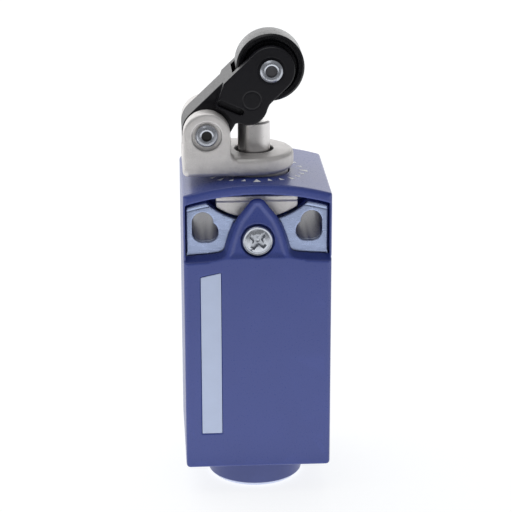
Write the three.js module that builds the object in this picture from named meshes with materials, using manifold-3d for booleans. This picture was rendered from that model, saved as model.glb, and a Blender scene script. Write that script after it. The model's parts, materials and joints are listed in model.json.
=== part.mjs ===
// Compact limit switch with a roller lever plunger head, as an assembly of separate solids.
// Millimetres, +Z up, front towards -Y. The origin is under the body's middle, level with the
// lower end of the cable entry.
import * as THREE from 'three';
import { mergeVertices } from 'three/addons/utils/BufferGeometryUtils.js';
import Module from 'manifold-3d';

const wasm = await Module();
wasm.setup();

// ---------- Driving dimensions ----------
const GAP = 0.3; // assembly clearance between neighbouring pieces
const FIT = 0.15; // radial clearance of small pins

const BODY_WIDTH = 30;
const BODY_DEPTH = 30;
const BODY_HEIGHT = 61.35; // underside to the middle of the crown
const CROWN_RISE = 2.2;
const EDGE_RADIUS = 1;
const ENTRY_DROP = 6.2; // how far the cable entry hangs below the body
const HOUSING_WALL = 3;
const COVER_WALL = 2;
const FLOOR = 2;
const COVER_DEPTH = 8.8;
const PARTING = 0.5; // gap between cover and housing along the parting line

const HINGE_SETBACK = 1.9; // front face to the cover's hinge line
const HINGE_RISE = 1.8; // underside to the hinge line
const HINGE_PIN_RADIUS = 0.45;
const KNUCKLE_RADIUS = 1;
const KNUCKLE_X = 10;
const KNUCKLE_WIDTH = 2;
const GASKET_THICKNESS = 1.2;

const LIP_HEIGHT = 2.05; // roof edge over the fixing plate
const CREASE_DROP = 15.75; // crown to the crease where the cover starts to slope back
const CREASE_RISE = 0.6; // the crease is a flatter arch than the crown
const SLOPE = 0.44; // rise of the sloping face for each millimetre towards the back
const RECESS = 2.6; // front face to the fixing plate
const SIDE_RIM = 0.4;

const PLATE_THICKNESS = 1.2;
const PLATE_TOP_DROP = 3.3;
const PLATE_LAP = 1.2; // how far the plate reaches down behind the cover
const FIXING_DROP = 10.45; // crown to the round fixing holes
const ROUND_HOLE_SPACING = 20;
const SLOT_SPACING = 22;
const SLOT_RISE = 1;
const FIXING_DIAMETER = 4.3;
const SLOT_LENGTH = 6.3;
const CUT_MARGIN = 7.85; // radius of the plate's round cut-out beyond the spigot
const CUT_DROP = 8.5; // crown to the cut-out's lowest point

const TAB_APEX_DROP = 2.85; // crown to the top of the cover's tab
const TAB_TIP_RADIUS = 1.3;
const TAB_SHOULDER = 4.3; // half width of the tab level with the head of its screw
const TAB_FOOT = 7.3;
const SCREW_DROP = 11.95; // crown to the cover screw
const SCREW_HEAD_RADIUS = 3.1;
const SCREW_HEAD = 1.25;
const SCREW_RADIUS = 1.4;
const SCREW_LENGTH = 5.6;
const SCREW_INSET = 0.1; // cover's front to the head of its screw
const CROSS_LENGTH = 3.4;
const CROSS_WIDTH = 0.9;
const INSERT_WALL = 0.9;
const INSERT_LENGTH = 4.8;

const HEAD_SETBACK = 1.8; // head axis in front of the body's middle
const BRACKET_RADIUS = 8.7;
const NOSE_SETBACK = 0.6; // head axis to the middle of the bracket's round nose
const BRACKET_BASE = 3.7;
const BRACKET_LIFT = 0.35; // bracket underside above the crown
const BRACKET_REACH = 14.8; // head axis to the bracket's far end
const EAR_THICKNESS = 4;
const SPIGOT_RADIUS = 7;
const SPIGOT_DEPTH = 9.1; // below the bracket's underside
const GROOVE_DEPTH = 1.4;
const GROOVE_HEIGHT = 2.2;
const GROOVE_DROP = 5.4; // bracket underside to the groove's upper side
const SEAL_SECTION = 0.4;
const SEAL_CLEARANCE = 0.35; // spigot to the seal
const SEAL_RISE = 3; // groove's upper side to the middle of the seal
const LOCK_MARGIN = 1.25; // half width of the head lock beyond the spigot
const LOCK_TOP_DROP = 3.45;
const LOCK_SETBACK = 0.9; // plate's front to the lock's front
const LOCK_FLANGE = 1.2;
const LOCK_TRAVEL = 1.6;
const LOCK_CLEARANCE = 0.5; // lock's lower edge to the plate's cut-out
const NOTCH_MARGIN = 2.2; // housing's notch beyond the lock on each side
const NOTCH_DEPTH = 2; // behind the lock's flange

const PIVOT_OFFSET = 9.9; // head axis to the lever's pivot
const PIVOT_HEIGHT = 4.8; // bracket top to the pivot
const LEVER_LENGTH = 18.2;
const LEVER_ANGLE = 44.1;
const LEVER_RADIUS = 4.85;
const FORK_RADIUS = 4.75;
const EAR_CLEARANCE = 0.65; // fork cheeks to the ears' round ends
const FORK_START = 9.6; // along the lever's top, from the pivot to the start of the fork
const FORK_RUN = 5; // straight lower edge of the fork, back from its round end
const NECK_WIDTH = 8.8;
const FORK_WIDTH = 12.4;
const PRESSER_RADIUS = 4.1;
const PRESSER_SETBACK = 1.6; // presser's middle behind the head axis, towards the pivot
const ROLLER_RADIUS = 6.9;
const ROLLER_WIDTH = 7;
const AXLE_RADIUS = 1.6;
const PIVOT_RADIUS = 1.9;
const RIVET_HEAD = 0.8;
const RIVET_HEAD_RADIUS = 2.3;
const RIVET_BORE = 1;
const RIVET_SEAT = 1; // depth of the seat for a rivet head in the bracket

const PLUNGER_RADIUS = 3.3;
const PLUNGER_RISE = 6; // plunger top above the bracket
const PLUNGER_TRAVEL = 2.9;
const SHOULDER = 1.2; // plunger's collar, under the bracket's guide
const ROD_RADIUS = 1.5;

const ENTRY_RADIUS = 9.9;
const ENTRY_BORE = 7.2; // core radius of an M16 x 1.5 thread
const ENTRY_NECK = 8.3;
const ENTRY_CHAMFER = 0.8;
const ENTRY_FLANGE = 1;

const BLOCK_WIDTH = 22;
const BLOCK_DEPTH = 12;
const BLOCK_HEIGHT = 28;
const BLOCK_WALL = 1.8;
const BLOCK_DROP = 7.8; // crease to the block's top
const TERMINAL_SPACING = 16;
const TERMINAL_PITCH = 15;
const STEM_RADIUS = 2;
const STEM_FLANGE_RADIUS = 2.9;
const PIN_RADIUS = 1;
const BRIDGE = 1;
const STRIP = 0.6;
const CLAMP = 0.8;

const LABEL_WIDTH = 4.7;
const LABEL_HEIGHT = 35.7;
const LABEL_EDGE = 3.1; // side face to the label
const LABEL_DROP = 2.4; // crease to the label's top
const LABEL_THICKNESS = 0.2;

// ---------- Levels worked out from them ----------
const HALF_WIDTH = BODY_WIDTH / 2;
const FRONT = -BODY_DEPTH / 2;
const BACK = BODY_DEPTH / 2;
const UNDERSIDE = ENTRY_DROP;
const CROWN = UNDERSIDE + BODY_HEIGHT;
const CROWN_RADIUS = archRadius(CROWN_RISE);
const CREASE_RADIUS = archRadius(CREASE_RISE);
const HEAD_Y = -HEAD_SETBACK;
const COVER_BACK = FRONT + COVER_DEPTH;
const HOUSING_FRONT = COVER_BACK + PARTING;
const CREASE = CROWN - CREASE_DROP;
const PLATE_FRONT = FRONT + RECESS;
const PLATE_BACK = PLATE_FRONT + PLATE_THICKNESS;
const BLOCK_FACE = PLATE_BACK + GAP; // housing face behind the plate
const SLOPE_DEPTH = RECESS - GAP;
const SLOPE_TOP = CREASE + SLOPE * SLOPE_DEPTH;
const PLATE_BOTTOM = SLOPE_TOP - PLATE_LAP;
const COVER_CEILING = PLATE_BOTTOM - 0.7;
const HOUSING_SILL = PLATE_BOTTOM - GAP;
const SCREW_Z = CROWN - SCREW_DROP;
const FIXING_Z = CROWN - FIXING_DROP;
const CUT_RADIUS = SPIGOT_RADIUS + CUT_MARGIN;
const CUT_CENTRE = CROWN - CUT_DROP + CUT_RADIUS;

const BRACKET_BOTTOM = CROWN + BRACKET_LIFT;
const BRACKET_TOP = BRACKET_BOTTOM + BRACKET_BASE;
const SPIGOT_BOTTOM = BRACKET_BOTTOM - SPIGOT_DEPTH;
const BORE_BOTTOM = SPIGOT_BOTTOM - GAP;
const GROOVE_TOP = BRACKET_BOTTOM - GROOVE_DROP;
const GROOVE_BOTTOM = GROOVE_TOP - GROOVE_HEIGHT;
const PIVOT = { x: -PIVOT_OFFSET, z: BRACKET_TOP + PIVOT_HEIGHT };
const LEVER_TILT = THREE.MathUtils.degToRad(LEVER_ANGLE);
const AXLE = {
  x: PIVOT.x + LEVER_LENGTH * Math.cos(LEVER_TILT),
  z: PIVOT.z + LEVER_LENGTH * Math.sin(LEVER_TILT),
};
const PLUNGER_TOP = BRACKET_TOP + PLUNGER_RISE;
const BLOCK_TOP = CREASE - BLOCK_DROP;
const BLOCK_BOTTOM = BLOCK_TOP - BLOCK_HEIGHT;
const CAVITY_TOP = COVER_CEILING - COVER_WALL;

// Radius of an arch over the body's width that stands this far above its ends.
function archRadius(rise) {
  return (HALF_WIDTH ** 2 + rise ** 2) / (2 * rise);
}

const group = new THREE.Group();

// ---------- Solid helpers ----------
// A closed three.js geometry becomes a solid that can be cut and joined.
function solid(geometry) {
  const bare = geometry.index ? geometry.toNonIndexed() : geometry.clone();
  bare.deleteAttribute('normal');
  bare.deleteAttribute('uv');
  const welded = mergeVertices(bare, 1e-4);
  const mesh = new wasm.Mesh({
    numProp: 3,
    vertProperties: new Float32Array(welded.attributes.position.array),
    triVerts: new Uint32Array(welded.index.array),
  });
  return new wasm.Manifold(mesh);
}

function toGeometry(body) {
  const mesh = body.getMesh();
  const geometry = new THREE.BufferGeometry();
  geometry.setAttribute('position', new THREE.BufferAttribute(new Float32Array(mesh.vertProperties), 3));
  geometry.setIndex(new THREE.BufferAttribute(new Uint32Array(mesh.triVerts), 1));
  geometry.computeVertexNormals();
  return geometry;
}

const join = (...bodies) => bodies.reduce((all, body) => all.add(body));
const cut = (body, ...tools) => tools.reduce((rest, tool) => rest.subtract(tool), body);

function box(x0, x1, y0, y1, z0, z1) {
  const geometry = new THREE.BoxGeometry(x1 - x0, y1 - y0, z1 - z0);
  geometry.translate((x0 + x1) / 2, (y0 + y1) / 2, (z0 + z1) / 2);
  return solid(geometry);
}

// A bar or rod along one axis, from one level to another.
function rod(axis, radius, from, to, [a, b] = [0, 0], segments = 20) {
  const geometry = new THREE.CylinderGeometry(radius, radius, to - from, segments);
  const middle = (from + to) / 2;
  if (axis === 'x') {
    geometry.rotateZ(Math.PI / 2).translate(middle, a, b);
  } else if (axis === 'y') {
    geometry.translate(a, middle, b);
  } else {
    geometry.rotateX(Math.PI / 2).translate(a, b, middle);
  }
  return solid(geometry);
}

// A front elevation (x, z) given depth along y.
function frontal(shape, y0, y1, curveSegments = 6) {
  const geometry = new THREE.ExtrudeGeometry(shape, { depth: y1 - y0, bevelEnabled: false, curveSegments });
  geometry.rotateX(Math.PI / 2).translate(0, y1, 0);
  return solid(geometry);
}

// A plan (x, y) given height along z.
function upright(shape, z0, z1, curveSegments = 8) {
  const geometry = new THREE.ExtrudeGeometry(shape, { depth: z1 - z0, bevelEnabled: false, curveSegments });
  geometry.translate(0, 0, z0);
  return solid(geometry);
}

// A turned piece about the vertical head axis, from (radius, z) points.
function turned(points, segments = 28) {
  const profile = points.map(([r, z]) => new THREE.Vector2(r, z));
  const geometry = new THREE.LatheGeometry(profile, segments);
  geometry.rotateX(Math.PI / 2).translate(0, HEAD_Y, 0);
  return solid(geometry);
}

// A turned piece about an axis along y through (x, z), from (radius, y) points.
function turnedAcross(points, { x, z }, segments = 20) {
  const profile = points.map(([r, y]) => new THREE.Vector2(r, y));
  const geometry = new THREE.LatheGeometry(profile, segments);
  geometry.translate(x, 0, z);
  return solid(geometry);
}

function polygon(points) {
  return new THREE.Shape(points.map(([a, b]) => new THREE.Vector2(a, b)));
}

function roundedPlan(x0, x1, y0, y1, radius) {
  const shape = new THREE.Shape();
  const corners = [[x1, y0, -0.5], [x1, y1, 0], [x0, y1, 0.5], [x0, y0, 1]];
  corners.forEach(([x, y, turn]) => {
    const cx = x === x0 ? x0 + radius : x1 - radius;
    const cy = y === y0 ? y0 + radius : y1 - radius;
    shape.absarc(cx, cy, radius, turn * Math.PI, (turn + 0.5) * Math.PI, false);
  });
  shape.closePath();
  return shape;
}

// Coil spring about the vertical head axis.
class Helix extends THREE.Curve {
  constructor(radius, z0, z1, turns) {
    super();
    Object.assign(this, { radius, z0, z1, turns });
  }

  getPoint(t, target = new THREE.Vector3()) {
    const angle = 2 * Math.PI * this.turns * t;
    const z = this.z0 + (this.z1 - this.z0) * t;
    return target.set(this.radius * Math.cos(angle), HEAD_Y + this.radius * Math.sin(angle), z);
  }
}

function spring(radius, wire, z0, z1, turns) {
  const section = new THREE.Shape();
  section.absarc(0, 0, wire / 2, 0, 2 * Math.PI, false);
  const extrudePath = new Helix(radius, z0 + wire / 2, z1 - wire / 2, turns);
  return new THREE.ExtrudeGeometry(section, { steps: turns * 8, curveSegments: 2, extrudePath });
}

function part(name, body, [color, roughness, metalness]) {
  const geometry = body.isBufferGeometry ? body : toGeometry(body);
  const mesh = new THREE.Mesh(geometry, new THREE.MeshStandardMaterial({ color, roughness, metalness }));
  mesh.name = name;
  group.add(mesh);
}

const BLUE = [0x555f93, 0.5, 0];
const DARK_BLUE = [0x47507f, 0.5, 0];
const BLACK = [0x1e1e26, 0.45, 0];
const RUBBER = [0x151517, 0.8, 0];
const ZINC = [0xb6b6b4, 0.45, 0.9];
const PLATED = [0xa8b4ca, 0.3, 1];
const STEEL = [0xc8c8ca, 0.25, 1];
const BRASS = [0xc2a15a, 0.35, 1];
const IVORY = [0xd8d2bf, 0.55, 0];
const PALE = [0xb0bedc, 0.5, 0];

// ---------- Body envelope ----------
// A front elevation with an arched top that is as tall as the level in its middle.
function archShape(halfWidth, bottom, level, footRadius = 0, radius = CROWN_RADIUS) {
  const shape = new THREE.Shape();
  const angle = Math.asin(halfWidth / radius);
  shape.moveTo(-halfWidth, bottom + footRadius);
  if (footRadius > 0) {
    const footX = halfWidth - footRadius;
    shape.absarc(-footX, bottom + footRadius, footRadius, Math.PI, 1.5 * Math.PI, false);
    shape.absarc(footX, bottom + footRadius, footRadius, 1.5 * Math.PI, 2 * Math.PI, false);
  } else {
    shape.lineTo(halfWidth, bottom);
  }
  shape.absarc(0, level - radius, radius, Math.PI / 2 - angle, Math.PI / 2 + angle, false);
  shape.closePath();
  return shape;
}

function envelope() {
  const elevation = frontal(archShape(HALF_WIDTH, UNDERSIDE, CROWN, EDGE_RADIUS), FRONT, BACK, 6);
  const plan = upright(roundedPlan(-HALF_WIDTH, HALF_WIDTH, FRONT, BACK, EDGE_RADIUS),
    UNDERSIDE - 1, CROWN + 1, 2);
  return elevation.intersect(plan);
}

// Everything below an arched surface that rises towards the back from the front face.
function slopedArch(level, y0, y1, bottom) {
  const section = archShape(HALF_WIDTH + 1, bottom, level, 0, CREASE_RADIUS);
  const slab = new THREE.ExtrudeGeometry(section,
    { depth: y1 - y0, bevelEnabled: false, curveSegments: 8 });
  slab.rotateX(Math.PI / 2).translate(0, y1, 0);
  const shear = new THREE.Matrix4().set(1, 0, 0, 0, 0, 1, 0, 0, 0, SLOPE, 1, -SLOPE * FRONT, 0, 0, 0, 1);
  return solid(slab.applyMatrix4(shear));
}

// A round fixing hole and its upright slot, one pair on each side, along y.
function fixingHoles(y0, y1, allowance) {
  const radius = FIXING_DIAMETER / 2 + allowance;
  const reach = (SLOT_LENGTH - FIXING_DIAMETER) / 2;
  const slotZ = FIXING_Z + SLOT_RISE;
  const holes = [-1, 1].map((side) => {
    const slotX = side * SLOT_SPACING / 2;
    return join(
      rod('y', radius, y0, y1, [side * ROUND_HOLE_SPACING / 2, FIXING_Z], 16),
      rod('y', radius, y0, y1, [slotX, slotZ - reach], 16),
      rod('y', radius, y0, y1, [slotX, slotZ + reach], 16),
      box(slotX - radius, slotX + radius, y0, y1, slotZ - reach, slotZ + reach),
    );
  });
  return join(...holes);
}

// ---------- Housing ----------
const HINGE_Y = FRONT + HINGE_SETBACK;
const HINGE_Z = UNDERSIDE + HINGE_RISE;
const TONGUE_FRONT = HEAD_Y - ENTRY_NECK - GAP - 0.6;
const INSERT_RADIUS = SCREW_RADIUS + INSERT_WALL;
const LOCK_HALF_WIDTH = SPIGOT_RADIUS + LOCK_MARGIN;
const LOCK_TOP = CROWN - LOCK_TOP_DROP;
const LOCK_FRONT = PLATE_FRONT + LOCK_SETBACK;
const JAW_THICKNESS = GROOVE_HEIGHT - 2 * GAP;
const SEAL_RADIUS = SPIGOT_RADIUS + SEAL_SECTION + SEAL_CLEARANCE;
const SEAL_Z = GROOVE_TOP + SEAL_RISE;
const NOTCH_X = LOCK_HALF_WIDTH + NOTCH_MARGIN;

function housing() {
  const inside = HALF_WIDTH - HOUSING_WALL;
  const rimInside = HALF_WIDTH - SIDE_RIM;
  const outer = cut(
    envelope(),
    slopedArch(CREASE + GAP, FRONT - 1, PLATE_FRONT, UNDERSIDE - 2),
    frontal(archShape(HALF_WIDTH + 1, UNDERSIDE - 2, HOUSING_SILL - 0.1), FRONT - 1, HOUSING_FRONT),
    frontal(archShape(rimInside, UNDERSIDE, CROWN - LIP_HEIGHT), FRONT - 1, BLOCK_FACE),
  );
  const coverInside = HALF_WIDTH - COVER_WALL - GAP;
  const tongue = box(-coverInside, coverInside, TONGUE_FRONT, HOUSING_FRONT + 1,
    UNDERSIDE, UNDERSIDE + FLOOR);
  const arms = [-1, 1].map((side) => {
    const x0 = side * KNUCKLE_X - KNUCKLE_WIDTH / 2;
    return join(
      rod('x', KNUCKLE_RADIUS, x0, x0 + KNUCKLE_WIDTH, [HINGE_Y, HINGE_Z], 16),
      box(x0, x0 + KNUCKLE_WIDTH, HINGE_Y, TONGUE_FRONT + 1, HINGE_Z - 0.8, UNDERSIDE + FLOOR),
    );
  });
  const jawTop = GROOVE_TOP - GAP;
  return cut(
    join(outer, tongue, ...arms),
    box(-inside, inside, HOUSING_FRONT - 1, BACK - COVER_WALL, UNDERSIDE + FLOOR, CAVITY_TOP),
    rod('x', HINGE_PIN_RADIUS + FIT, -HALF_WIDTH, HALF_WIDTH, [HINGE_Y, HINGE_Z], 12),
    rod('z', ENTRY_NECK + GAP, UNDERSIDE - 1, UNDERSIDE + FLOOR + 1, [0, HEAD_Y], 28),
    rod('z', SPIGOT_RADIUS + GAP, BORE_BOTTOM, CROWN + 1, [0, HEAD_Y], 28),
    rod('z', STEM_RADIUS + GAP, CAVITY_TOP - 1, BORE_BOTTOM + 1, [0, HEAD_Y], 24),
    rod('z', SEAL_RADIUS + SEAL_SECTION + 0.25, SEAL_Z - 0.65, SEAL_Z + 0.65, [0, HEAD_Y], 28),
    rod('y', INSERT_RADIUS + GAP, BLOCK_FACE - 1, BLOCK_FACE + INSERT_LENGTH + GAP, [0, SCREW_Z], 20),
    frontal(lockShape(NOTCH_X, LOCK_TOP + GAP, CUT_RADIUS), BLOCK_FACE - 1,
      LOCK_FRONT + LOCK_FLANGE + NOTCH_DEPTH),
    box(-LOCK_HALF_WIDTH, LOCK_HALF_WIDTH, BLOCK_FACE - 1, HEAD_Y - 2,
      jawTop - JAW_THICKNESS - GAP, jawTop + GAP),
    fixingHoles(BLOCK_FACE - 1, BACK + 1, 0.2),
  );
}

// The lock's front outline: flat on top, concentric with the plate's cut-out below.
function lockShape(halfWidth, top, radius) {
  const shape = new THREE.Shape();
  const angle = Math.asin(halfWidth / radius);
  shape.absarc(0, CUT_CENTRE, radius, 1.5 * Math.PI - angle, 1.5 * Math.PI + angle, false);
  shape.lineTo(halfWidth, top);
  shape.lineTo(-halfWidth, top);
  shape.closePath();
  return shape;
}

// ---------- Cover ----------
// The tab: a rounded tip that flares down into the crease line.
function tabShape(inset = 0) {
  const shape = new THREE.Shape();
  const tip = CROWN - TAB_APEX_DROP - TAB_TIP_RADIUS;
  const tipRadius = TAB_TIP_RADIUS - inset;
  const shoulder = TAB_SHOULDER - inset;
  const foot = TAB_FOOT - inset;
  const shoulderZ = SCREW_Z + 4.8;
  const footZ = CREASE + 1.6;
  shape.moveTo(-foot - 1.5, CREASE - 2);
  shape.lineTo(foot + 1.5, CREASE - 2);
  shape.lineTo(foot + 1.5, CREASE);
  shape.quadraticCurveTo(foot, CREASE + 0.2, foot - 0.6, footZ);
  shape.quadraticCurveTo(foot - 1.4, SCREW_Z + 1.6, shoulder, shoulderZ);
  shape.absarc(0, tip, tipRadius, 0.2 * Math.PI, 0.8 * Math.PI, false);
  shape.lineTo(-shoulder, shoulderZ);
  shape.quadraticCurveTo(-foot + 1.4, SCREW_Z + 1.6, -foot + 0.6, footZ);
  shape.quadraticCurveTo(-foot, CREASE + 0.2, -foot - 1.5, CREASE);
  shape.closePath();
  return shape;
}

const LABEL_X = -HALF_WIDTH + LABEL_EDGE;
const LABEL_TOP = CREASE - LABEL_DROP;
const SCREW_FRONT = FRONT + SCREW_INSET;
const SCREW_HEAD_BACK = SCREW_FRONT + SCREW_HEAD;
const SCREW_SEAT = SCREW_HEAD_BACK + GAP; // floor of the screw's recess
const PLATE_NEAR = PLATE_FRONT - GAP; // back of the cover's slope and tab

function labelShape(inset) {
  const x0 = LABEL_X + inset;
  const x1 = LABEL_X + LABEL_WIDTH - inset;
  return polygon([[x0, LABEL_TOP - LABEL_HEIGHT + inset], [x1, LABEL_TOP - LABEL_HEIGHT + inset],
    [x1, LABEL_TOP - inset], [x0, LABEL_TOP - 0.9 - inset]]);
}

function frontCover() {
  const inside = HALF_WIDTH - COVER_WALL;
  const below = frontal(archShape(HALF_WIDTH + 1, UNDERSIDE - 1, COVER_CEILING), FRONT - 1, COVER_BACK);
  const wedge = slopedArch(CREASE, FRONT - 1, PLATE_NEAR, CREASE - 6);
  const shell = cut(
    envelope().intersect(join(below, wedge)),
    box(-inside, inside, FRONT + COVER_WALL, BACK, UNDERSIDE - 1, CAVITY_TOP),
  );
  const rail = rod('x', KNUCKLE_RADIUS + 0.1, -inside - 0.5, inside + 0.5, [HINGE_Y, HINGE_Z], 16);
  const notches = [-1, 1].map((side) => {
    const x0 = side * KNUCKLE_X - KNUCKLE_WIDTH / 2 - GAP;
    const x1 = x0 + KNUCKLE_WIDTH + 2 * GAP;
    const reach = KNUCKLE_RADIUS + 0.2;
    return join(
      rod('x', reach, x0, x1, [HINGE_Y, HINGE_Z], 16),
      box(x0, x1, HINGE_Y - reach, HINGE_Y + 3, UNDERSIDE - 1, HINGE_Z),
    );
  });
  return cut(
    join(shell, rail, frontal(tabShape(), FRONT, PLATE_NEAR)),
    ...notches,
    rod('x', HINGE_PIN_RADIUS + FIT, -inside - 0.6, inside + 0.6, [HINGE_Y, HINGE_Z], 12),
    rod('y', SCREW_HEAD_RADIUS + 0.4, FRONT - 1, SCREW_SEAT, [0, SCREW_Z], 20),
    rod('y', SCREW_RADIUS + 0.5, FRONT - 1, PLATE_NEAR + 1, [0, SCREW_Z], 20),
    box(-TAB_SHOULDER - 2, TAB_SHOULDER + 2, LOCK_FRONT - LOCK_TRAVEL - 0.5, PLATE_FRONT,
      SCREW_Z + 3.4, CROWN),
    frontal(tabShape(0.9), FRONT - 1, FRONT + 0.7).intersect(
      box(-TAB_SHOULDER, TAB_SHOULDER, FRONT - 1, FRONT + 2, SCREW_Z + SCREW_HEAD_RADIUS + 1.2, CROWN)),
    frontal(labelShape(0), FRONT - 1, FRONT + LABEL_THICKNESS + GAP),
  );
}

// The gasket runs up both sides and across the top; the tongue closes the lower end.
function gasket() {
  const outer = HALF_WIDTH - COVER_WALL - GAP;
  const inner = HALF_WIDTH - HOUSING_WALL;
  const bar = outer - inner;
  const y1 = HOUSING_FRONT - GAP;
  const y0 = y1 - GASKET_THICKNESS;
  const bottom = UNDERSIDE + FLOOR + ENTRY_FLANGE + 2 * GAP;
  const top = CAVITY_TOP - GAP;
  return cut(
    box(-outer, outer, y0, y1, bottom, top),
    box(-inner, inner, y0 - 1, y1 + 1, bottom - 1, top - bar),
  );
}

part('housing', housing(), BLUE);
part('front_cover', frontCover(), BLUE);
part('cover_gasket', gasket(), RUBBER);
part('cover_label', frontal(labelShape(GAP), FRONT, FRONT + LABEL_THICKNESS), PALE);

[['left', -1], ['right', 1]].forEach(([side, sign]) => {
  const middle = sign * KNUCKLE_X;
  const reach = KNUCKLE_WIDTH / 2 + 1.4;
  part(`cover_hinge_pin_${side}`,
    rod('x', HINGE_PIN_RADIUS, middle - reach, middle + reach, [HINGE_Y, HINGE_Z], 12), STEEL);
});

// ---------- Cover screw ----------
function crossRecess(length, width, z) {
  return join(
    box(-length / 2, length / 2, FRONT - 1, FRONT + 0.9, z - width / 2, z + width / 2),
    box(-width / 2, width / 2, FRONT - 1, FRONT + 0.9, z - length / 2, z + length / 2),
  );
}

function coverScrew() {
  const bevel = 0.5;
  const body = turnedAcross([
    [0, SCREW_FRONT],
    [SCREW_HEAD_RADIUS - bevel, SCREW_FRONT],
    [SCREW_HEAD_RADIUS, SCREW_FRONT + bevel],
    [SCREW_HEAD_RADIUS, SCREW_HEAD_BACK],
    [SCREW_RADIUS, SCREW_HEAD_BACK],
    [SCREW_RADIUS, SCREW_HEAD_BACK + SCREW_LENGTH - 0.5],
    [SCREW_RADIUS - 0.5, SCREW_HEAD_BACK + SCREW_LENGTH],
    [0, SCREW_HEAD_BACK + SCREW_LENGTH],
  ], { x: 0, z: SCREW_Z });
  return cut(body, crossRecess(CROSS_LENGTH, CROSS_WIDTH, SCREW_Z));
}

part('cover_screw', coverScrew(), STEEL);
part('cover_screw_insert', cut(
  rod('y', INSERT_RADIUS, BLOCK_FACE + 0.1, BLOCK_FACE + INSERT_LENGTH, [0, SCREW_Z], 20),
  rod('y', SCREW_RADIUS + GAP, BLOCK_FACE - 1, BLOCK_FACE + INSERT_LENGTH + 1, [0, SCREW_Z], 20),
), BRASS);

// ---------- Fixing plate and head lock ----------
function fixingPlate() {
  const halfWidth = HALF_WIDTH - SIDE_RIM - GAP;
  const sheet = cut(
    frontal(archShape(halfWidth, PLATE_BOTTOM - 6, CROWN - PLATE_TOP_DROP), PLATE_FRONT, PLATE_BACK),
    frontal(archShape(halfWidth + 1, PLATE_BOTTOM - 8, PLATE_BOTTOM), PLATE_FRONT - 1, PLATE_BACK + 1),
  );
  return cut(
    sheet,
    rod('y', CUT_RADIUS, PLATE_FRONT - 1, PLATE_BACK + 1, [0, CUT_CENTRE], 72),
    rod('y', SCREW_RADIUS + 0.8, PLATE_FRONT - 1, PLATE_BACK + 1, [0, SCREW_Z], 20),
    fixingHoles(PLATE_FRONT - 1, PLATE_BACK + 1, 0),
  );
}

// The whole slide keeps inside the plate's cut-out, so it can be pulled forward through it.
function headLock() {
  const jawTop = GROOVE_TOP - GAP;
  const jawFront = LOCK_FRONT + LOCK_FLANGE;
  const jawBack = HEAD_Y - 3.2;
  const outline = lockShape(LOCK_HALF_WIDTH, LOCK_TOP, CUT_RADIUS - LOCK_CLEARANCE);
  const jaws = cut(
    box(-LOCK_HALF_WIDTH + GAP, LOCK_HALF_WIDTH - GAP, jawFront - 0.5, jawBack,
      jawTop - JAW_THICKNESS, jawTop).intersect(frontal(outline, LOCK_FRONT, jawBack)),
    rod('z', SPIGOT_RADIUS - GROOVE_DEPTH + GAP, jawTop - 9, jawTop + 9, [0, HEAD_Y], 28),
  );
  return join(frontal(outline, LOCK_FRONT, jawFront), jaws);
}

part('fixing_plate', fixingPlate(), PLATED);
part('head_lock_slide', headLock(), ZINC);

// ---------- Cable entry ----------
function cableEntry() {
  const top = UNDERSIDE - GAP;
  const flange = UNDERSIDE + FLOOR + GAP;
  return turned([
    [ENTRY_BORE, 0.4],
    [ENTRY_BORE + 0.4, 0],
    [ENTRY_RADIUS - ENTRY_CHAMFER, 0],
    [ENTRY_RADIUS, ENTRY_CHAMFER],
    [ENTRY_RADIUS, top],
    [ENTRY_NECK, top],
    [ENTRY_NECK, flange],
    [ENTRY_NECK + 0.9, flange],
    [ENTRY_NECK + 0.9, flange + ENTRY_FLANGE],
    [ENTRY_BORE, flange + ENTRY_FLANGE],
    [ENTRY_BORE, 0.4],
  ], 32);
}

part('cable_entry', cableEntry(), DARK_BLUE);

// ---------- Head ----------
const GUIDE_RADIUS = PLUNGER_RADIUS + GAP;
const CHAMBER_RADIUS = PLUNGER_RADIUS + 1.2;
const CHAMBER_TOP = BRACKET_TOP - 2.7;
const WIPER_SEAT = BRACKET_TOP - 1;
const BRACKET_FRONT = HEAD_Y - BRACKET_RADIUS;
const BRACKET_BACK = HEAD_Y + BRACKET_RADIUS;

function earShape() {
  const shape = new THREE.Shape();
  shape.moveTo(PIVOT.x - LEVER_RADIUS + 0.1, BRACKET_BOTTOM + 1);
  shape.lineTo(PIVOT.x + LEVER_RADIUS + 0.6, BRACKET_BOTTOM + 1);
  shape.lineTo(PIVOT.x + LEVER_RADIUS + 0.6, BRACKET_TOP);
  shape.quadraticCurveTo(PIVOT.x + LEVER_RADIUS - 0.1, BRACKET_TOP, PIVOT.x + LEVER_RADIUS - 0.1,
    BRACKET_TOP + 0.9);
  shape.absarc(PIVOT.x, PIVOT.z, LEVER_RADIUS - 0.1, 0, Math.PI, false);
  shape.closePath();
  return shape;
}

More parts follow.
